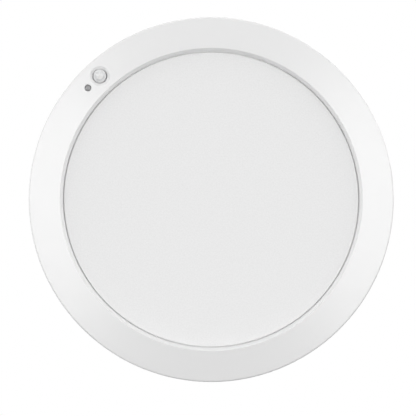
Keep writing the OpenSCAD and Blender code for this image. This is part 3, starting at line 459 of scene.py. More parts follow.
class Piece:
    """One Blender-made piece, built from closed shapes in the lamp's own frame."""

    def __init__(self, name, *materials):
        self.name, self.materials = name, materials
        self.bm = bmesh.new()

    def faces(self, places, faces, material=0, smooth=True):
        made = [self.bm.verts.new(p) for p in places]
        out = []
        for face in faces:
            if len({made[i] for i in face}) < 3:
                continue
            f = self.bm.faces.new([made[i] for i in face])
            f.material_index, f.smooth = material, smooth
            out.append(f)
        return out

    def sweep(self, rings, closed, material=0, smooth=True):
        """Joins rings of points into a skin: a closed loop of rings, or one with a flat face on each end."""
        n, m = len(rings), len(rings[0])
        places = [p for ring in rings for p in ring]
        faces = [
            (i * m + j, i * m + (j + 1) % m, (i + 1) % n * m + (j + 1) % m, (i + 1) % n * m + j)
            for i in range(n if closed else n - 1) for j in range(m)
        ]
        if not closed:
            faces += [tuple(reversed(range(m))), tuple((n - 1) * m + j for j in range(m))]
        return self.faces(places, faces, material, smooth)

    def lathe(self, profile, centre=(0, 0, 0), steps=64, material=0, wobble=None, turn=ALONG_Z):
        """Turns a closed outline of (radius, level) points. Wobble(angle, r, z) may shift them."""
        rings = []
        for i in range(steps):
            a = 2 * pi * i / steps
            ring = []
            for r, z in profile:
                r2, z2 = wobble(a, r, z) if wobble else (r, z)
                ring.append(turn @ Vector((r2 * cos(a), r2 * sin(a), z2)) + Vector(centre))
            rings.append(ring)
        return self.sweep(rings, True, material)

    def tube(self, path, radius, sides=12, material=0, squash=1.0):
        """A round wire along a path, with no twist. Radius may be a function of the share of the way."""
        path = [Vector(p) for p in path]
        side = None
        rings = []
        for i, here in enumerate(path):
            along = (path[min(i + 1, len(path) - 1)] - path[max(i - 1, 0)]).normalized()
            if side is None:
                side = along.orthogonal().normalized()
            side = (side - along * side.dot(along)).normalized()
            up = along.cross(side)
            r = radius(i / (len(path) - 1)) if callable(radius) else radius
            rings.append([
                here + side * r * cos(2 * pi * j / sides) + up * r * squash * sin(2 * pi * j / sides)
                for j in range(sides)
            ])
        return self.sweep(rings, False, material)

    def block(self, size, centre, bevel=0.2, material=0, segments=2, turn=0.0):
        """A box with rounded edges, turned about Z by turn degrees."""
        place = Matrix.Translation(centre) @ Matrix.Rotation(radians(turn), 4, "Z")
        made = bmesh.ops.create_cube(self.bm, size=1.0, matrix=place @ Matrix.Diagonal((*size, 1)))["verts"]
        edges = list(dict.fromkeys(e for v in made for e in v.link_edges))
        for f in {f for v in made for f in v.link_faces}:
            f.material_index, f.smooth = material, True
        self.round_edges(edges, bevel, segments, material)

    def sheet(self, outline, z0, z1, bevel=0.1, material=0, segments=2):
        """A flat outline, given as (x, y) points, raised from z0 to z1 with rounded edges."""
        low = [Vector((x, y, z0)) for x, y in outline]
        high = [Vector((x, y, z1)) for x, y in outline]
        made = self.sweep([low, high], False, material)
        edges = list(dict.fromkeys(e for f in made[-2:] for e in f.edges))
        self.round_edges(edges, bevel, segments, material)

    def round_edges(self, edges, bevel, segments, material):
        cut = bmesh.ops.bevel(
            self.bm, geom=edges, offset=bevel, segments=segments, affect="EDGES", profile=0.5,
        )
        for f in cut["faces"]:
            f.material_index, f.smooth = material, True

    def paint(self, faces, material, test):
        """Gives another material to the faces whose middle passes a test."""
        for face in faces:
            if test(face.calc_center_median()):
                face.material_index = material

    def shape(self):
        """Makes the object, in the row frame, riding on the lamp."""
        bm = self.bm
        bmesh.ops.remove_doubles(bm, verts=bm.verts, dist=1e-5)
        bmesh.ops.dissolve_degenerate(bm, dist=1e-6, edges=bm.edges)
        bmesh.ops.delete(bm, geom=[e for e in bm.edges if not e.link_faces], context="EDGES")
        bmesh.ops.recalc_face_normals(bm, faces=bm.faces)
        bm.transform(TO_ROW)
        mesh = bpy.data.meshes.new(self.name)
        bm.to_mesh(mesh)
        bm.free()
        for material in self.materials:
            mesh.materials.append(material)
        piece = bpy.data.objects.new(self.name, mesh)
        bpy.context.scene.collection.objects.link(piece)
        mesh.set_sharp_from_angle(angle=radians(38))
        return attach(piece, "lamp")

    def finish(self, slot, node):
        """Makes the object as one piece, and hides the CAD node that it takes the place of."""
        piece = self.shape()
        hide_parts(node)


# ---- The CAD nodes' finish ----

def cad_finish():
    """A modifier group that joins a CAD mesh's faces and shades it smooth, but for edges over 28 degrees."""
    group = bpy.data.node_groups.new("cad_finish", "GeometryNodeTree")
    for way in ("INPUT", "OUTPUT"):
        group.interface.new_socket("Geometry", in_out=way, socket_type="NodeSocketGeometry")
    new, link = group.nodes.new, group.links.new
    entry, exit_ = new("NodeGroupInput"), new("NodeGroupOutput")
    merge, normals = new("GeometryNodeMergeByDistance"), new("GeometryNodeSetMeshNormal")
    merge.inputs["Distance"].default_value = WELD
    normals.inputs["Remove Custom"].default_value = True
    angle, sharp = new("GeometryNodeInputMeshEdgeAngle"), new("FunctionNodeCompare")
    sharp.inputs[1].default_value = radians(28)
    link(entry.outputs[0], merge.inputs["Geometry"])
    link(merge.outputs[0], normals.inputs["Mesh"])
    link(angle.outputs["Unsigned Angle"], sharp.inputs[0])
    link(sharp.outputs[0], normals.inputs["Edge Sharpness"])
    link(normals.outputs[0], exit_.inputs[0])
    return group


def dress(nodes, material, group):
    """Gives named CAD nodes their material, and shading that keeps flat faces flat beside rounded edges."""
    for name in nodes.split():
        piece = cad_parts[name]
        for slot in piece.material_slots:
            slot.link = "OBJECT"
            slot.material = material
        piece.modifiers.new("finish", "NODES").node_group = group
        weighted = piece.modifiers.new("weighted", "WEIGHTED_NORMAL")
        weighted.keep_sharp = True


# ---- Sensor ----

def lenslets(x, y, pitch):
    """How far (x, y) is from the nearest point of a hexagonal grid, as a share of the pitch."""
    row_step = pitch * sqrt(3) / 2
    best = 9.0
    row = round(y / row_step)
    for j in (row - 1, row, row + 1):
        shift = 0.5 * pitch if j % 2 else 0.0
        column = round((x - shift) / pitch)
        best = min(best, hypot(x - column * pitch - shift, y - j * row_step))
    return best / pitch


def pir_lens():
    """A milky dome of hollow hexagonal facets inside a smooth shoulder, on a flange behind the bezel."""
    low, centre, high = extent("pir_lens")
    flange_r = (high.x - low.x) / 2
    barrel_r = flange_r - 1.55
    flange_top = low.z + 1.15
    base = high.z - 2.4
    dome_r, dome_h = barrel_r * 0.76, 1.35
    shoulder = high.z - dome_h
    ball = (dome_r ** 2 + dome_h ** 2) / (2 * dome_h)
    pitch, facet, drop = 2.5, 0.34, 0.65
    sides, rows = 96, 30

    def dome_level(x, y):
        r = min(hypot(x, y), dome_r)
        level = shoulder + sqrt(ball ** 2 - r ** 2) - (ball - dome_h)
        fade = min(1.0, (dome_r - r) / 0.25)
        return level - facet * fade * (1 - 3 * lenslets(x, y + drop, pitch) ** 2)

    outer = [(low.z, flange_r), (flange_top - 0.2, flange_r), (flange_top, flange_r - 0.2),
             (flange_top, barrel_r + 0.15), (flange_top + 0.15, barrel_r), (base + 0.35, barrel_r)]
    outer += [
        (base + 0.35 + (shoulder - base - 0.35) * sin(t), dome_r + (barrel_r - dome_r) * cos(t))
        for t in (radians(a) for a in (15, 30, 45, 60, 75))
    ]
    rings = [[polar(r, 360 * j / sides, z) for j in range(sides)] for z, r in outer]
    for i in range(rows):
        r = dome_r * (1 - i / rows)
        places = [polar(r, 360 * j / sides) for j in range(sides)]
        rings.append([Vector((p.x, p.y, dome_level(p.x, p.y))) for p in places])
    hollow_r, roof = barrel_r - 0.5, shoulder - 0.4
    hollow = [(roof + 0.75 * cos(radians(a)), hollow_r * sin(radians(a)) * 0.98)
              for a in range(6, 91, 12)]
    hollow += [(base, hollow_r), (low.z, hollow_r)]
    inner = [[polar(r, 360 * j / sides, z) for j in range(sides)] for z, r in hollow]
    lens = Piece("pir_lens_faceted", milky("lens_milky"))
    place = Vector((centre.x, centre.y, 0))
    skin = [[p + place for p in ring] for ring in rings]
    lining = [[p + place for p in ring] for ring in inner]
    lens.sweep(skin, False)
    lens.sweep(lining, False)
    ends = [f for f in lens.bm.faces if len(f.verts) == sides]
    for face in ends:
        if abs(face.calc_center_median().z - low.z) < 1e-4:
            lens.bm.faces.remove(face)
    bmesh.ops.bridge_loops(
        lens.bm,
        edges=[e for e in lens.bm.edges if e.is_boundary and abs(e.verts[0].co.z - low.z) < 1e-4],
    )
    lens.finish("lens_film", "pir_lens")


def recut_openings():
    """Cuts the bezel's two countersunk holes again, on the same surfaces, with more facets."""
    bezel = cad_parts["front_bezel"]
    bezel.modifiers.new("weld", "WELD").merge_threshold = WELD
    surface = own_box("pir_lens")[1].z - LENS_PROUD
    tilt = Matrix.Rotation(radians(BEZEL_SLOPE), 3, polar(1, SENSOR_ANGLE + 90))
    under, above, over, clear, steps = -2.6, 2.4, 0.6, 0.02, 128
    holes, flares = Piece("opening_holes"), Piece("opening_flares")
    for node, radius, depth, flare in OPENINGS:
        at = middle(node)
        r = radius + clear
        holes.lathe([(0, under), (r, under), (r, above), (0, above)], (at.x, at.y, surface), steps)
        foot, rim = -depth - over, r + flare * (depth + over)
        outline = [(0, foot), (r - flare * over, foot), (rim, over), (0, over)]
        flares.lathe(outline, (at.x, at.y, surface), steps, turn=tilt)
    for cutter in (holes, flares):
        shape = cutter.shape()
        shape.hide_render = shape.hide_viewport = True
        cut = bezel.modifiers.new(cutter.name, "BOOLEAN")
        cut.object, cut.operation, cut.solver = shape, "DIFFERENCE", "EXACT"


# ---- Soft pieces ----

def ripple(seed, reach):
    """A slow in-and-out movement of a soft edge round a ring, the same on every run."""
    def at(angle, span=2.2):
        here = Vector((cos(angle) * span, sin(angle) * span, seed))
        return noise.noise(here) * reach
    return at


def squared(value, power):
    """A sine or cosine, bent so that the outline drawn with it is squarer than an ellipse."""
    return copysign(abs(value) ** power, value)


def wall_gasket():
    """A strip of closed-cell foam, crowned on top and pressed flat below, that ends in a butt joint."""
    low, high = own_box("wall_gasket")
    r_out = high.x
    width, thick = 5.8, high.z - low.z
    r_mid = r_out - width / 2
    sway, swell = ripple(3.1, 0.12), ripple(8.4, 0.1)
    steps, joint, sides = 220, 0.35, 22
    rings = []
    for i in range(steps + 1):
        turn = 90 + joint / 2 + (360 - joint) * i / steps
        a = radians(turn)
        pinch = 0.9 if i in (0, steps) else 1.0
        ring = []
        for j in range(sides):
            t = 2 * pi * j / sides
            across = squared(cos(t), 0.45) * (width / 2 - 0.14 + swell(a)) * pinch
            up = squared(sin(t), 0.6) * (thick / 2 - 0.02) * pinch
            ring.append(polar(r_mid + sway(a) + across, turn, low.z + thick / 2 + up))
        rings.append(ring)
    gasket = Piece("wall_gasket_foam", foam("gasket_foam", (0.20, 0.20, 0.205), 0.45, 0.10))
    gasket.sweep(rings, False)
    gasket.finish("gasket_foam", "wall_gasket")


def diffuser_seal():
    """A thin foam tape with a rounded bead, between the diffuser's flange and the bezel's lip."""
    low, high = own_box("diffuser_seal")
    width = 2.3
    r_mid, z_mid = high.x - width / 2, (low.z + high.z) / 2
    sway = ripple(5.7, 0.04)
    outline = [
        (r_mid + squared(cos(t), 0.5) * (width / 2 - 0.05),
         z_mid + squared(sin(t), 0.7) * (high.z - low.z) / 2)
        for t in (2 * pi * j / 16 for j in range(16))
    ]
    seal = Piece("diffuser_seal_foam", foam("seal_foam", (0.07, 0.07, 0.075), 0.2, 0.04))
    seal.lathe(outline, steps=240, wobble=lambda a, r, z: (r + sway(a), z))
    seal.finish("seal_foam", "diffuser_seal")


def foam_pad():
    """A die-cut disc of sponge that sinks between its glue dots, with a hole at the earth screw."""
    low, high = own_box("foam_pad")
    r_out, thick = high.x, high.z - low.z
    hole = middle("earth_screw")
    hole_r, dot_pitch, sink = 3.0, 21.0, 0.16
    rings_out, spokes = 34, 120

    def level(x, y, top):
        dots = cos(2 * pi * x / dot_pitch) * cos(2 * pi * y / dot_pitch)
        rim = min(1.0, (r_out - hypot(x, y)) / 1.2)
        edge = 0.35 * (1 - max(rim, 0.0)) ** 2
        wave = noise.noise(Vector((x / 14, y / 14, 1.7))) * 0.05
        return top - sink * (0.5 - 0.5 * dots) * rim - edge - 0.05 + wave

    def spoke_point(share, angle):
        """From the hole's edge at share 0 to the disc's edge at share 1, along straight lines."""
        inner = Vector((hole.x, hole.y)) + Vector((cos(angle), sin(angle))) * hole_r
        outer = Vector((cos(angle), sin(angle))) * (r_out - 0.1)
        return inner.lerp(outer, share)

    shares = [(i / rings_out) ** 1.15 for i in range(rings_out + 1)]
    angles = [2 * pi * j / spokes for j in range(spokes)]
    top, bottom = [], []
    for share in shares:
        above, below = [], []
        for p in (spoke_point(share, a) for a in angles):
            here = level(p.x, p.y, high.z)
            above.append(Vector((p.x, p.y, here)))
            below.append(Vector((p.x, p.y, low.z + 0.04 + (high.z - here) * 0.3)))
        top.append(above)
        bottom.append(below)
    side = [
        [Vector((p.x * s, p.y * s, low.z + thick * t)) for p in (spoke_point(1, a) for a in angles)]
        for t, s in ((0.72, 1.001), (0.5, 1.0015), (0.28, 1.001))
    ]
    pad = Piece("foam_pad_sponge", foam("sponge", (0.09, 0.09, 0.095), 0.8, 0.2, 0.9))
    pad.sweep(top + side + bottom[::-1], True)
    pad.finish("grey_sponge", "foam_pad")


# ---- Wires ----

LEAD_R = 0.8
LEAD_SWELL = 1.36
BARE_END = 1.1


def wavy(path, seed, reach, step=1.6):
    """The path in short steps, moved a little to and fro between its ends as a hand-laid wire is."""
    out = []
    for start, end in zip(path, path[1:]):
        parts = max(1, round((end - start).length / step))
        out += [start.lerp(end, i / parts) for i in range(parts)]
    out.append(path[-1])
    total = len(out) - 1
    for i, place in enumerate(out):
        hold = min(1.0, 4 * i / total, 4 * (total - i) / total)
        out[i] = place + noise.noise_vector(place / 9 + Vector((seed, 0, 0))) * reach * hold
    return out


def lead_start(button, lead_z):
    """A supply lead's first points: inside the terminal, out of it, and up towards the tray."""
    low, high = own_box("terminal_block")
    x, exit_y, level = middle(button).x, high.y + 2.2, low.z + 5.2
    return [(x, high.y - 0.9, level), (x, exit_y, level), (x, exit_y, lead_z)]


def soldered_lead(piece, path, radius, seed, sleeve=0):
    """An insulated wire that comes down onto a board: its bare end stands in a cone of solder."""
    copper, cone = 1, 2
    path = wavy(path, seed, 0.12)
    end = path[-1]
    cut = next(i for i in range(len(path) - 1, 0, -1) if (path[i] - end).length > BARE_END)
    back = (path[cut] - end).normalized()
    neck = end + back * BARE_END
    piece.tube(path[:cut + 1] + [neck], radius, material=sleeve)
    piece.tube([neck + back * 0.6, end + Vector((0, 0, 0.1))], radius * 0.55, 10, copper)
    slope = ((0, 0), (1.55, 0), (1.2, 0.22), (0.75, 0.5), (0.6, 0.85), (0, 0.9))
    piece.lathe([(radius * share, level) for share, level in slope], end, 20, cone)


def supply_leads():
    """The brown and the blue lead, from the terminal over the cover's hinge to the driver board."""
    low, high = own_box("supply_leads")
    lead_z, land_y, board = high.z - LEAD_SWELL, low.y + LEAD_SWELL, low.z
    live_x, neutral_x = low.x + LEAD_SWELL + 3, low.x + LEAD_SWELL
    live, neutral = lead_start("terminal_button_live", lead_z), lead_start("terminal_button_neutral", lead_z)
    over_y = live[-1][1] + 4
    live += [(live_x, live[-1][1], lead_z), (live_x, land_y, lead_z), (live_x, land_y, board)]
    neutral += [(neutral[-1][0], over_y, lead_z), (neutral_x, over_y, lead_z), (neutral_x, land_y, lead_z),
                (neutral_x, land_y, board)]
    tinned = solder("lead_solder")
    copper = metal("lead_copper", (0.80, 0.42, 0.26), 0.3, 0.1)
    leads = Piece("supply_leads_wires", insulation("lead_brown", (0.14, 0.055, 0.025)), copper, tinned,
                  insulation("lead_blue", (0.035, 0.13, 0.42)))
    soldered_lead(leads, rounded_path(live, 3.2), LEAD_R, 1.3)
    soldered_lead(leads, rounded_path(neutral, 3.2), LEAD_R, 4.9, sleeve=3)
    leads.finish("mains_insulation", "supply_leads")


def earth_lead():
    """The green and yellow lead, crimped into a ring tag under the earth screw."""
    low, high = own_box("earth_lead")
    screw = middle("earth_screw")
    tag_r, hole_r, tag_t = high.y - screw.y, 1.6, 0.8
    tag_back = high.z - tag_t
    path = lead_start("terminal_button_earth", own_box("supply_leads")[1].z - LEAD_SWELL)
    crimp_y = screw.y - 5
    path += [(screw.x, path[-1][1] + 8, path[-1][2]), (screw.x, crimp_y, tag_back)]
    lead = Piece(
        "earth_lead_wire", insulation("earth_green", (0.035, 0.24, 0.05)),
        metal("tag_tin", (0.68, 0.68, 0.67), 0.28, 0.3), insulation("earth_yellow", (0.78, 0.62, 0.04)),
    )
    sides, stripes = 12, (2, 3, 8, 9)
    skin = lead.tube(wavy(rounded_path(path, 3.0), 2.2, 0.12), LEAD_R, sides)
    for i, face in enumerate(skin[:-2]):
        if i % sides in stripes:
            face.material_index = 2
    top = high.z
    lead.lathe([
        (hole_r, tag_back + 0.1), (hole_r + 0.1, tag_back), (tag_r - 0.15, tag_back),
        (tag_r, tag_back + 0.15), (tag_r, top - 0.15), (tag_r - 0.15, top), (hole_r + 0.1, top),
        (hole_r, top - 0.1),
    ], (screw.x, screw.y, 0), 48, 1)
    left, right, near, far = screw.x - 1.45, screw.x + 1.45, crimp_y + 0.6, screw.y - 2.6
    tongue = [(left, near), (right, near), (right, far), (left, far)]
    lead.sheet(tongue, tag_back, top, 0.1, 1)
    crimp = [Vector((screw.x, crimp_y + y, tag_back - 0.1)) for y in (-2.4, -2.2, -1.5, -0.9, -0.3, 0.5, 0.9)]
    widths = (1.0, 1.14, 1.14, 0.98, 1.14, 1.14, 0.95)
    lead.tube(crimp, lambda share: widths[round(share * (len(widths) - 1))], 16, 1, 0.78)
    lead.finish("earth_insulation", "earth_lead")


def led_leads():
    """The red and the black lead from the driver to the strip."""
    low, high = own_box("led_leads")
    socket = own_box("board_sockets")[0]
    plug_x, spread, radius = socket.x + 2.5, 1.2, 0.6
    start_y, level = high.y, low.z + 1.02
    entry_r, entry_angle, entry_spread = 95.8, 255, 1.1
    leads = Piece("led_leads_wires", insulation("lead_red", (0.42, 0.02, 0.018)),
                  insulation("lead_black", (0.02, 0.02, 0.022)))
    for material, side in enumerate((-1, 1)):
        entry = polar(entry_r, entry_angle + entry_spread * side)
        x = plug_x + spread * side
        path = [(x, start_y, level), (x, start_y - 3, level)]
        path += [(entry.x, entry.y, level), (entry.x, entry.y, high.z)]
        leads.tube(wavy(rounded_path(path, 2.6), 6.1 + side, 0.25), radius, 12, material)
    leads.finish("red_insulation", "led_leads")


def sensor_cable():
    """Four strands side by side, fanned out at the sensor's plug and held on edge round the lamp."""
    low, high = own_box("sensor_cable")
    plug = middle("sensor_plug")
    plug_r, plug_angle = plug.xy.length, degrees(atan2(plug.y, plug.x))
    strands, pitch = 4, 0.95
    arc_r, arc_start, arc_end, bends = -low.x - 0.5, plug_angle + 2.5, 224, 40
    socket = Vector((own_box("board_sockets")[0].x - 0.4, -48.9))
    across = Vector((-plug.y, plug.x, 0)).normalized()
    cable = Piece("sensor_cable_strands", insulation("cable_grey", (0.44, 0.44, 0.45)),
                  insulation("cable_red", (0.42, 0.03, 0.025)))
    for k in range(strands):
        level = low.z + pitch / 2 + pitch * k
        fan = across * (k - (strands - 1) / 2) * pitch
        top = polar(plug_r, plug_angle, high.z) + fan
        turn = polar(plug_r, plug_angle, level + 1.4) + fan * 0.8
        path = [top, turn, polar(plug_r - 1.6, plug_angle, level), polar(arc_r + 3, plug_angle, level)]
        path += [
            polar(arc_r, arc_start + (arc_end - arc_start) * i / bends, level) for i in range(bends + 1)
        ]
        path.append(Vector((socket.x, socket.y, level)))
        cable.tube(rounded_path(path, 1.4, 3), pitch / 2, 10, 1 if k == 0 else 0)
    cable.finish("grey_cable", "sensor_cable")


def switch_cable():
    """Five loose strands that arch from the switch board to the driver board."""
    low, mid, high = extent("switch_cable")
    radius, strands, pitch = 0.5, 5, 1.27
    reach = (high.y - low.y) / 2 - radius
    cable = Piece("switch_cable_strands", insulation("strand_grey", (0.46, 0.46, 0.47)),
                  solder("strand_solder"))
    for k in range(strands):
        x = mid.x + (k - (strands - 1) / 2) * pitch
        rise = reach - 0.12 * (k % 3)
        path = [
            Vector((x + 0.1 * sin(2 * t + k), mid.y + reach * cos(t), low.z + 0.15 + rise * sin(t)))
            for t in (pi * i / 20 for i in range(21))
        ]
        cable.tube(path, lambda share: 0.3 if share < 0.1 or share > 0.9 else radius, 12)
        for end in (path[0], path[-1]):
            cable.lathe([(0, 0), (0.6, 0), (0.45, 0.25), (0.36, 0.6), (0, 0.62)],
                        (end.x, end.y, low.z), 16, 1)
    cable.finish("grey_cable", "switch_cable")


# ---- Driver parts ----

def leg(piece, points, radius=0.3, material=1):
    """A component's tinned leg, bent down to the board, with its solder."""
    piece.tube(rounded_path(points, 0.6, 4), radius, 10, material)
    end = Vector(points[-1])
    piece.lathe([(0, 0), (radius * 2.2, 0), (radius * 1.5, 0.18), (radius * 1.1, 0.42), (0, 0.45)],
                end, 16, material)


def transformer():
    """A ferrite core round a wound bobbin, with yellow tape over the winding and pins below."""
    low, mid, high = extent("transformer")
    side = high.x - low.x
    core_y, core_leg, cheek = 5.6, 2.2, 2.1
    base, roof = low.z + 2.5, high.z
    made = Piece(
        "transformer_wound", moulded("ferrite_grey", (0.055, 0.055, 0.06), 0.5, 0.3, 0.02, 0.1),
        tin("pin_tin"), insulation("tape_yellow", (0.74, 0.52, 0.03)),
        moulded("bobbin_black", (0.02, 0.02, 0.02), 0.42), insulation("tape_edge", (0.58, 0.40, 0.03)),
    )
    for z in (base + cheek / 2, roof - cheek / 2):
        made.block((side - 0.4, core_y, cheek), (mid.x, mid.y, z), 0.25)
    for s in (-1, 1):
        x = mid.x + s * (side / 2 - 0.2 - core_leg / 2)
        made.block((core_leg, core_y, roof - base - 2 * cheek + 0.1), (x, mid.y, (base + roof) / 2), 0.2)
    made.block((side - 1.6, core_y + 0.12, 0.16), (mid.x, mid.y, (base + roof) / 2), 0.03, 2)
    barrel_x, barrel_y, flange = side / 2 - core_leg - 0.6, side / 2 - 0.45, 0.55
    rim = rounded_box(mid, barrel_x + 0.3, barrel_y + 0.35, 1.6)
    made.sheet(rim, base + cheek, base + cheek + flange, 0.12, 3)
    made.sheet(rim, roof - cheek - flange, roof - cheek, 0.12, 3)
    layers, low_z, high_z = 5, base + cheek + flange, roof - cheek - flange
    for i in range(layers):
        z0 = low_z + (high_z - low_z) * i / layers
        z1 = low_z + (high_z - low_z) * (i + 1) / layers
        grow = 0.1 * sin(pi * (i + 0.5) / layers) + 0.04 * (i % 2)
        tape = rounded_box(mid, barrel_x + grow, barrel_y - 0.1 + grow, 2.4)
        made.sheet(tape, z0, z1, 0.07, 2 if i % 2 == 0 else 4, 1)
    made.block((side - 0.5, side - 0.2, 1.5), (mid.x, mid.y, low.z + 1.45), 0.3, 3)
    for s in (-1, 1):
        for k in range(4):
            x, y = mid.x + (k - 1.5) * 3.1, mid.y + s * (side / 2 - 1.1)
            leg(made, [(x, y, low.z + 1.2), (x, y, low.z)], 0.32)
    made.finish("transformer_tape", "transformer")


def capacitor_can(piece, start, r, length, pitch, board):
    """A rolled can along X: a sealed end with two legs, a groove, a striped sleeve and a scored top."""
    end = length
    near = ((0.95, 0.32), (0.9, 0.05), (0.3, 0.05), (0.04, 0.3), (0.03, 1.3), (0.3, 1.65), (0.48, 2.0),
            (0.3, 2.35), (0.03, 2.7))
    far = ((0.02, 0.7), (0.18, 0.2), (0.55, 0.02), (0.95, 0.02), (1.05, 0.12), (1.1, 0.5))
    sleeve = [(r - inset, level) for inset, level in near]
    sleeve += [(r - inset, end - level) for inset, level in far] + [(r - 1.1, 0.6)]
    skin = piece.lathe(sleeve, start, 64, 0, turn=ALONG_X)
    piece.paint(skin, 1, lambda p: p.z - start.z > 0.55 * r and abs(p.y - start.y) < 0.36 * r)

    def scored(angle, radius, level):
        """Sinks the top along three lines from its middle."""
        if level <= end - 0.3 or radius <= 0.4:
            return radius, level
        turns = [angle - radians(a) for a in (90, 210, 330)]
        nearest = min(abs(sin(t)) * radius if cos(t) > 0 else radius for t in turns)
        return radius, level - 0.22 * max(0.0, 1 - nearest / 0.45)

    top = [(0, end - 0.8), (r - 1.1, end - 0.8), (r - 1.1, end - 0.2)]
    top += [((r - 1.25) * share, end - 0.12) for share in (1, 0.85, 0.7, 0.55, 0.4, 0.25, 0.1, 0)]
    piece.lathe(top, start, 96, 2, scored, ALONG_X)
    piece.lathe([(0, 0.25), (r - 1.1, 0.35), (r - 1.0, 0.8), (0, 0.8)], start, 48, 3, turn=ALONG_X)
    for s in (-1, 1):
        y, bend_x = start.y + s * pitch / 2, start.x - 1.3
        leg(piece, [(start.x + 0.5, y, start.z), (bend_x, y, start.z), (bend_x, y, board)], 0.35, 4)


def bulk_capacitors():
    low, high = own_box("bulk_capacitors")
    board = low.z - 0.05
    large_r, large_length, small_r, small_length = 5.0, 17.5, 4.0, 12.5
    cans = Piece(
        "bulk_capacitors_sleeved", moulded("sleeve_navy", (0.012, 0.016, 0.055), 0.22, 0.8, 0.002, 0.02),
        moulded("sleeve_stripe", (0.42, 0.45, 0.52), 0.25, 0.8, 0.002, 0.02),
        metal("can_top", (0.74, 0.75, 0.76), 0.22, 0.3), rubber("can_bung", (0.03, 0.03, 0.032)),
        tin("can_legs"),
    )
    large = Vector((high.x - large_length, high.y - large_r, low.z + large_r))
    small = Vector((low.x, low.y + small_r, low.z + small_r))
    capacitor_can(cans, large, large_r, large_length, 5.0, board)
    capacitor_can(cans, small, small_r, small_length, 3.5, board)
    cans.finish("capacitor_sleeve", "bulk_capacitors")


def film_capacitor():
    """A moulded case on four feet, filled from below with resin."""
    low, mid, high = extent("film_capacitor")
    width, length = high.x - low.x, high.y - low.y
    foot = 0.5
    case = Piece("film_capacitor_case", moulded("case_yellow", (0.72, 0.50, 0.03), 0.3, 0.5, 0.004),
                 tin("case_legs"),
                 moulded("case_resin", (0.42, 0.26, 0.03), 0.24, 0.4, 0.01))
    case.block((width, length, high.z - low.z - foot), (mid.x, mid.y, (low.z + foot + high.z) / 2), 0.5, 0, 3)
    case.block((width - 1.2, length - 1.2, 0.3), (mid.x, mid.y, low.z + foot - 0.05), 0.1, 2)
    for sx in (-1, 1):
        for sy in (-1, 1):
            place = (mid.x + sx * (width / 2 - 0.8), mid.y + sy * (length / 2 - 0.9), low.z + foot / 2 + 0.1)
            case.block((0.9, 1.1, foot + 0.2), place, 0.12)
    for s in (-1, 1):
        leg(case, [(mid.x, mid.y + s * 5, low.z + foot + 0.1), (mid.x, mid.y + s * 5, low.z)], 0.35)
    case.finish("film_case", "film_capacitor")


def varistor():
    """A disc dipped in blue epoxy, which has run a little way down its legs."""
    low, mid, high = extent("varistor")
    r, half = (high.x - low.x) / 2, (high.y - low.y) / 2
    board = own_box("film_capacitor")[0].z
    disc = Piece("varistor_disc", moulded("epoxy_blue", (0.03, 0.11, 0.34), 0.2, 1.1, 0.03, 0.05),
                 tin("varistor_legs"))

    def uneven(angle, radius, level):
        here = Vector((cos(angle) * radius / 2, sin(angle) * radius / 2, level / 2))
        lump = noise.noise(here + Vector((7.7, 0, 0))) * 0.14
        return max(0, radius - 0.1 + lump) if radius > 0.1 else radius, level * (0.94 + lump / 3)

    outline = [(0, -half)]
    swell = ((0.3, 1), (0.6, 0.98), (0.8, 0.9), (0.93, 0.66), (1, 0.25))
    outline += [(r * share, -half * rise) for share, rise in swell]
    outline += [(radius, -level) for radius, level in reversed(outline)]
    disc.lathe(outline, mid, 64, 0, uneven, ALONG_Y)
    for s in (-1, 1):
        x, y = mid.x + s * 2.4, mid.y + s * 0.7
        top, neck = low.z + 1.6, low.z + 0.1
        disc.tube([(x, y, top), (x, y, low.z + 0.6), (x, y, neck), (x, y, neck - 0.2)],
                  lambda share: 0.62 - 0.3 * share, 12)
        leg(disc, [(x, y, top - 0.4), (x, y, board)], 0.3)
    disc.finish("varistor_coat", "varistor")


def fuse():
    """A glass tube with plated end caps, a thin wire inside and a leg at each end."""
    low, mid, high = extent("fuse")
    r, length, cap = (high.z - low.z) / 2, high.x - low.x, 1.9
    board = own_box("film_capacitor")[0].z
    made = Piece("fuse_tube", clear_plastic("fuse_glass", (0.90, 0.92, 0.90), 0.03),
                 metal("fuse_caps", (0.74, 0.74, 0.72), 0.18, 0.3))
    start = Vector((low.x, mid.y, mid.z))
    inner, outer = r - 0.55, r - 0.2
    glass = [(inner, 0.4), (outer, 0.4), (outer, length - 0.4), (inner, length - 0.4)]
    made.lathe(glass, start, 48, turn=ALONG_X)
    for at, way in ((low.x, 1), (high.x, -1)):
        outline = [
            (0, 0), (r - 0.6, 0), (r - 0.25, 0.06), (r - 0.03, 0.3), (r, cap - 0.35), (r - 0.06, cap - 0.1),
            (r - 0.16, cap), (r - 0.19, cap - 0.1), (r - 0.19, 0.35), (0, 0.35),
        ]
        outline = [(radius, level * way) for radius, level in outline]
        made.lathe(outline, (at, mid.y, mid.z), 48, 1, turn=ALONG_X)
        bend_x = at - way * 1.3
        leg(made, [(at + way * 0.2, mid.y, mid.z), (bend_x, mid.y, mid.z), (bend_x, mid.y, board)], 0.35)
    ends = [(x, mid.y, mid.z) for x in (low.x + 0.3, high.x - 0.3)]
    made.tube([ends[0], (mid.x, mid.y, mid.z - 0.15), ends[1]], 0.09, 8, 1)
    made.finish("fuse_body", "fuse")


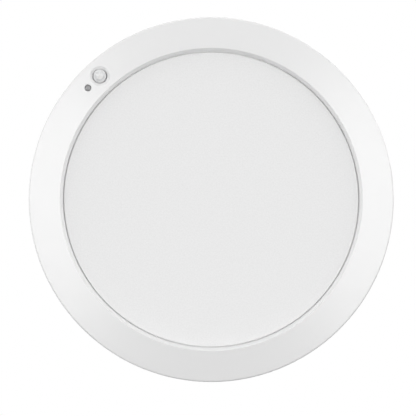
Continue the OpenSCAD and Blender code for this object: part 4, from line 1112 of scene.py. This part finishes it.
def choke():
    """A ferrite drum wound with enamelled wire, each turn in its own groove."""
    low, mid, high = extent("choke")
    rim = (high.x - low.x) / 2
    flange, turns, wire_r = 1.45, 15, 0.2
    drum = Piece("choke_wound", moulded("drum_ferrite", (0.045, 0.045, 0.05), 0.55, 0.3, 0.02, 0.1),
                 metal("enamelled_copper", (0.62, 0.24, 0.10), 0.26, 0.1, "turned"),
                 tin("choke_legs"))
    groove, under, over = rim - 1.6, low.z + flange, high.z - flange
    core = [
        (0, low.z + 0.3), (rim - 0.3, low.z + 0.3), (rim, low.z + 0.6), (rim, under - 0.15),
        (rim - 0.2, under), (groove, under + 0.1), (groove, over - 0.1), (rim - 0.2, over),
        (rim, over + 0.15), (rim, high.z - 0.25), (rim - 0.3, high.z), (1.1, high.z),
        (0.8, high.z - 0.35), (0, high.z - 0.4),
    ]
    drum.lathe(core, (mid.x, mid.y, 0), 64)
    first, last = under + 0.12, over - 0.12
    step = (last - first) / turns
    coil = [(rim - 1.55, first), (rim - 0.95, first)]
    for k in range(turns):
        for t in (-60, -20, 20, 60):
            a = radians(t)
            coil.append((rim - 0.95 + wire_r * cos(a), first + step * (k + 0.5) + step / 2 * sin(a)))
    coil += [(rim - 0.95, last), (rim - 1.55, last)]
    drum.lathe(coil, (mid.x, mid.y, 0), 64, 1)
    for s in (-1, 1):
        x = mid.x + s * 2.5
        leg(drum, [(x, mid.y, low.z + 0.5), (x, mid.y, low.z)], 0.35, 2)
    drum.finish("ferrite", "choke")


def led_chips():
    """White LED packages along the strip, each with a domed phosphor window that faces the light guide."""
    low, high = own_box("led_chips")
    count, gap, margin, entry = 72, 6, 2, 255
    inner_r, depth, length = own_box("light_guide")[1].x + 0.1, 0.75, 4.0
    height, level = high.z - low.z, (low.z + high.z) / 2
    chips = Piece("led_chips_phosphor", moulded("package_white", (0.82, 0.82, 0.80), 0.35, 0.3, 0.003),
                  phosphor("phosphor_yellow"))
    first, span = entry + 5 + gap / 2 + margin, 360 - gap - 2 * margin
    for i in range(count):
        turn = first + span * i / (count - 1)
        package, window = polar(inner_r + depth / 2 + 0.04, turn, level), polar(inner_r + 0.1, turn, level)
        chips.block((depth - 0.08, length, height), package, 0.1, 0, 1, turn)
        chips.block((0.16, length - 0.9, height - 0.5), window, 0.07, 1, 2, turn)
    chips.finish("led_phosphor", "led_chips")


# ---- Stage ----

def direction(azimuth, elevation):
    """A unit vector from the object. Azimuth 0 is towards the camera, and positive is to the right."""
    a, e = radians(azimuth), radians(elevation)
    return Vector((sin(a) * cos(e), -cos(a) * cos(e), sin(e)))


def studio():
    """Plain white to the camera, and softboxes to everything else."""
    world = bpy.data.worlds.new("studio")
    world.use_nodes = True
    bpy.context.scene.world = world
    sky = Nodes(world.node_tree)
    ray = sky.node("ShaderNodeTexCoord").outputs["Generated"]
    light = AMBIENT
    for (azimuth, elevation), inner, outer, strength in SOFTBOXES:
        facing = sky.dot(ray, direction(azimuth, elevation))
        glow = sky.band(facing, cos(radians(outer)), cos(radians(inner)), 0.0, strength)
        light = sky.add(glow, light)
    seen = sky.node("ShaderNodeLightPath").outputs["Is Camera Ray"]
    shown = sky.node("ShaderNodeMix", {0: seen, 2: light, 3: 1.0}).outputs[0]
    background = sky.node("ShaderNodeBackground", {"Color": rgb(1.0), "Strength": shown})
    sky.node("ShaderNodeOutputWorld", {"Surface": background.outputs[0]})


def floor():
    """A pale floor under the lamp that fades out into the white, takes its shadow and sends no light back."""
    g = Graph("floor_pale")
    x, y, _ = g.parts()
    fade = g.band(g.reach(x, y), FLOOR_CLEAR_R, FLOOR_FADE_R, 1.0, 0.0)
    grain = g.noise(40, 3)
    base = g.shade(rgb(0.86), grain, 0.99, 1.01)
    material = g.surface(base, g.band(grain, 0.2, 0.8, 0.7, 0.8), Alpha=fade)
    mesh = bpy.data.meshes.new("floor")
    half = FLOOR_FADE_R
    corners = [(-half, -half, 0), (half, -half, 0), (half, half, 0), (-half, half, 0)]
    mesh.from_pydata(corners, [], [(0, 1, 2, 3)])
    mesh.materials.append(material)
    plane = bpy.data.objects.new("floor", mesh)
    plane.location.z = CAD_BOX[0].z - FLOOR_GAP * MM
    plane.visible_diffuse = plane.visible_glossy = plane.visible_shadow = plane.visible_transmission = False
    bpy.context.scene.collection.objects.link(plane)


def camera():
    """Level and straight on, as the object is usually shown."""
    data = bpy.data.cameras.new("camera")
    data.type = "ORTHO"
    data.ortho_scale = LAMP_D * MM * FRAME_WIDTH
    cam = bpy.data.objects.new("camera", data)
    cam.location = (LAMP_D * MM * OFF_CENTRE[0], -CAMERA_DISTANCE, LAMP_D * MM * OFF_CENTRE[1])
    cam.rotation_euler = (radians(90), 0, 0)
    bpy.context.scene.collection.objects.link(cam)
    bpy.context.scene.camera = cam
    bpy.context.scene.view_settings.view_transform = "Standard"


# ---- Everything ----

def cad_looks():
    """Each CAD node that shows as it is, or several of one look, and its material."""
    return (
        ("front_bezel", front_moulding("bezel_white")),
        ("diffuser", opal("diffuser_opal")),
        ("rear_housing", moulded("housing_white", (0.80, 0.80, 0.795), 0.42, 0.45, 0.006)),
        ("terminal_cover", moulded("cover_white", (0.82, 0.82, 0.815), 0.38)),
        ("sensor_holder", moulded("holder_white", (0.76, 0.76, 0.75), 0.45)),
        ("reflector_sheet", moulded("sheet_white", (0.9, 0.9, 0.9), 0.3, 0.8, 0.002)),
        ("led_strip", moulded("strip_white", (0.84, 0.82, 0.76), 0.35, 0.5)),
        ("terminal_block", moulded("terminal_nylon", (0.72, 0.71, 0.67), 0.46, 0.3, 0.006)),
        ("terminal_button_live terminal_button_neutral terminal_button_earth",
         moulded("button_orange", (0.80, 0.16, 0.015), 0.4)),
        ("sensor_plug board_sockets", moulded("connector_ivory", (0.74, 0.68, 0.54), 0.44)),
        ("power_chips", moulded("chip_epoxy", (0.02, 0.02, 0.022), 0.5, 0.25, 0.006)),
        ("colour_slider", moulded("slider_black", (0.018, 0.018, 0.018), 0.45)),
        ("dip_switch", moulded("switch_red", (0.36, 0.012, 0.01), 0.34)),
        ("dip_slider_1 dip_slider_2 dip_slider_3", moulded("slider_white", (0.82, 0.82, 0.80), 0.3)),
        ("mounting_plate", metal("zinc_plate", (0.62, 0.64, 0.66), 0.36, 0.4, spots=(0.5, 0.52, 0.5))),
        ("lock_studs", metal("stud_steel", (0.60, 0.60, 0.60), 0.26)),
        ("lock_spring", metal("spring_steel", (0.42, 0.43, 0.45), 0.28, 0.2, "drawn")),
        ("heat_sink_tray", metal("tray_aluminium", (0.72, 0.73, 0.74), 0.34, 0.3, "turned")),
        ("housing_screws tray_screws sensor_screws driver_screws switch_screws",
         metal("screw_steel", (0.50, 0.50, 0.51), 0.3, 0.5)),
        ("earth_screw", metal("screw_green", (0.10, 0.34, 0.14), 0.34, 0.5)),
        ("pir_detector", metal("can_nickel", (0.66, 0.66, 0.64), 0.24, 0.3)),
        ("colour_switch", metal("switch_can", (0.64, 0.64, 0.65), 0.3, grain="drawn")),
        ("sensor_board driver_board switch_board", circuit_board("board_green")),
        ("cable_grommet", rubber("grommet_black", (0.028, 0.028, 0.03))),
        ("light_guide", clear_plastic("guide_clear", (0.88, 0.92, 0.93), 0.03)),
        ("light_cell", clear_plastic("epoxy_clear", (0.84, 0.88, 0.88), 0.04, 0.2)),
        ("light_pipe", clear_plastic("pipe_smoked", (0.34, 0.34, 0.345), 0.25, 0.9)),
        ("insulating_film", clear_plastic("film_clear", (0.86, 0.86, 0.84), 0.2, 0.5)),
    )


camera()
studio()
floor()
recut_openings()
smooth = cad_finish()
for nodes, look in cad_looks():
    dress(nodes, look, smooth)
for make in (
    pir_lens, wall_gasket, diffuser_seal, foam_pad, supply_leads, earth_lead, led_leads, sensor_cable,
    switch_cable, transformer, bulk_capacitors, film_capacitor, varistor, fuse, choke, led_chips,
):
    make()
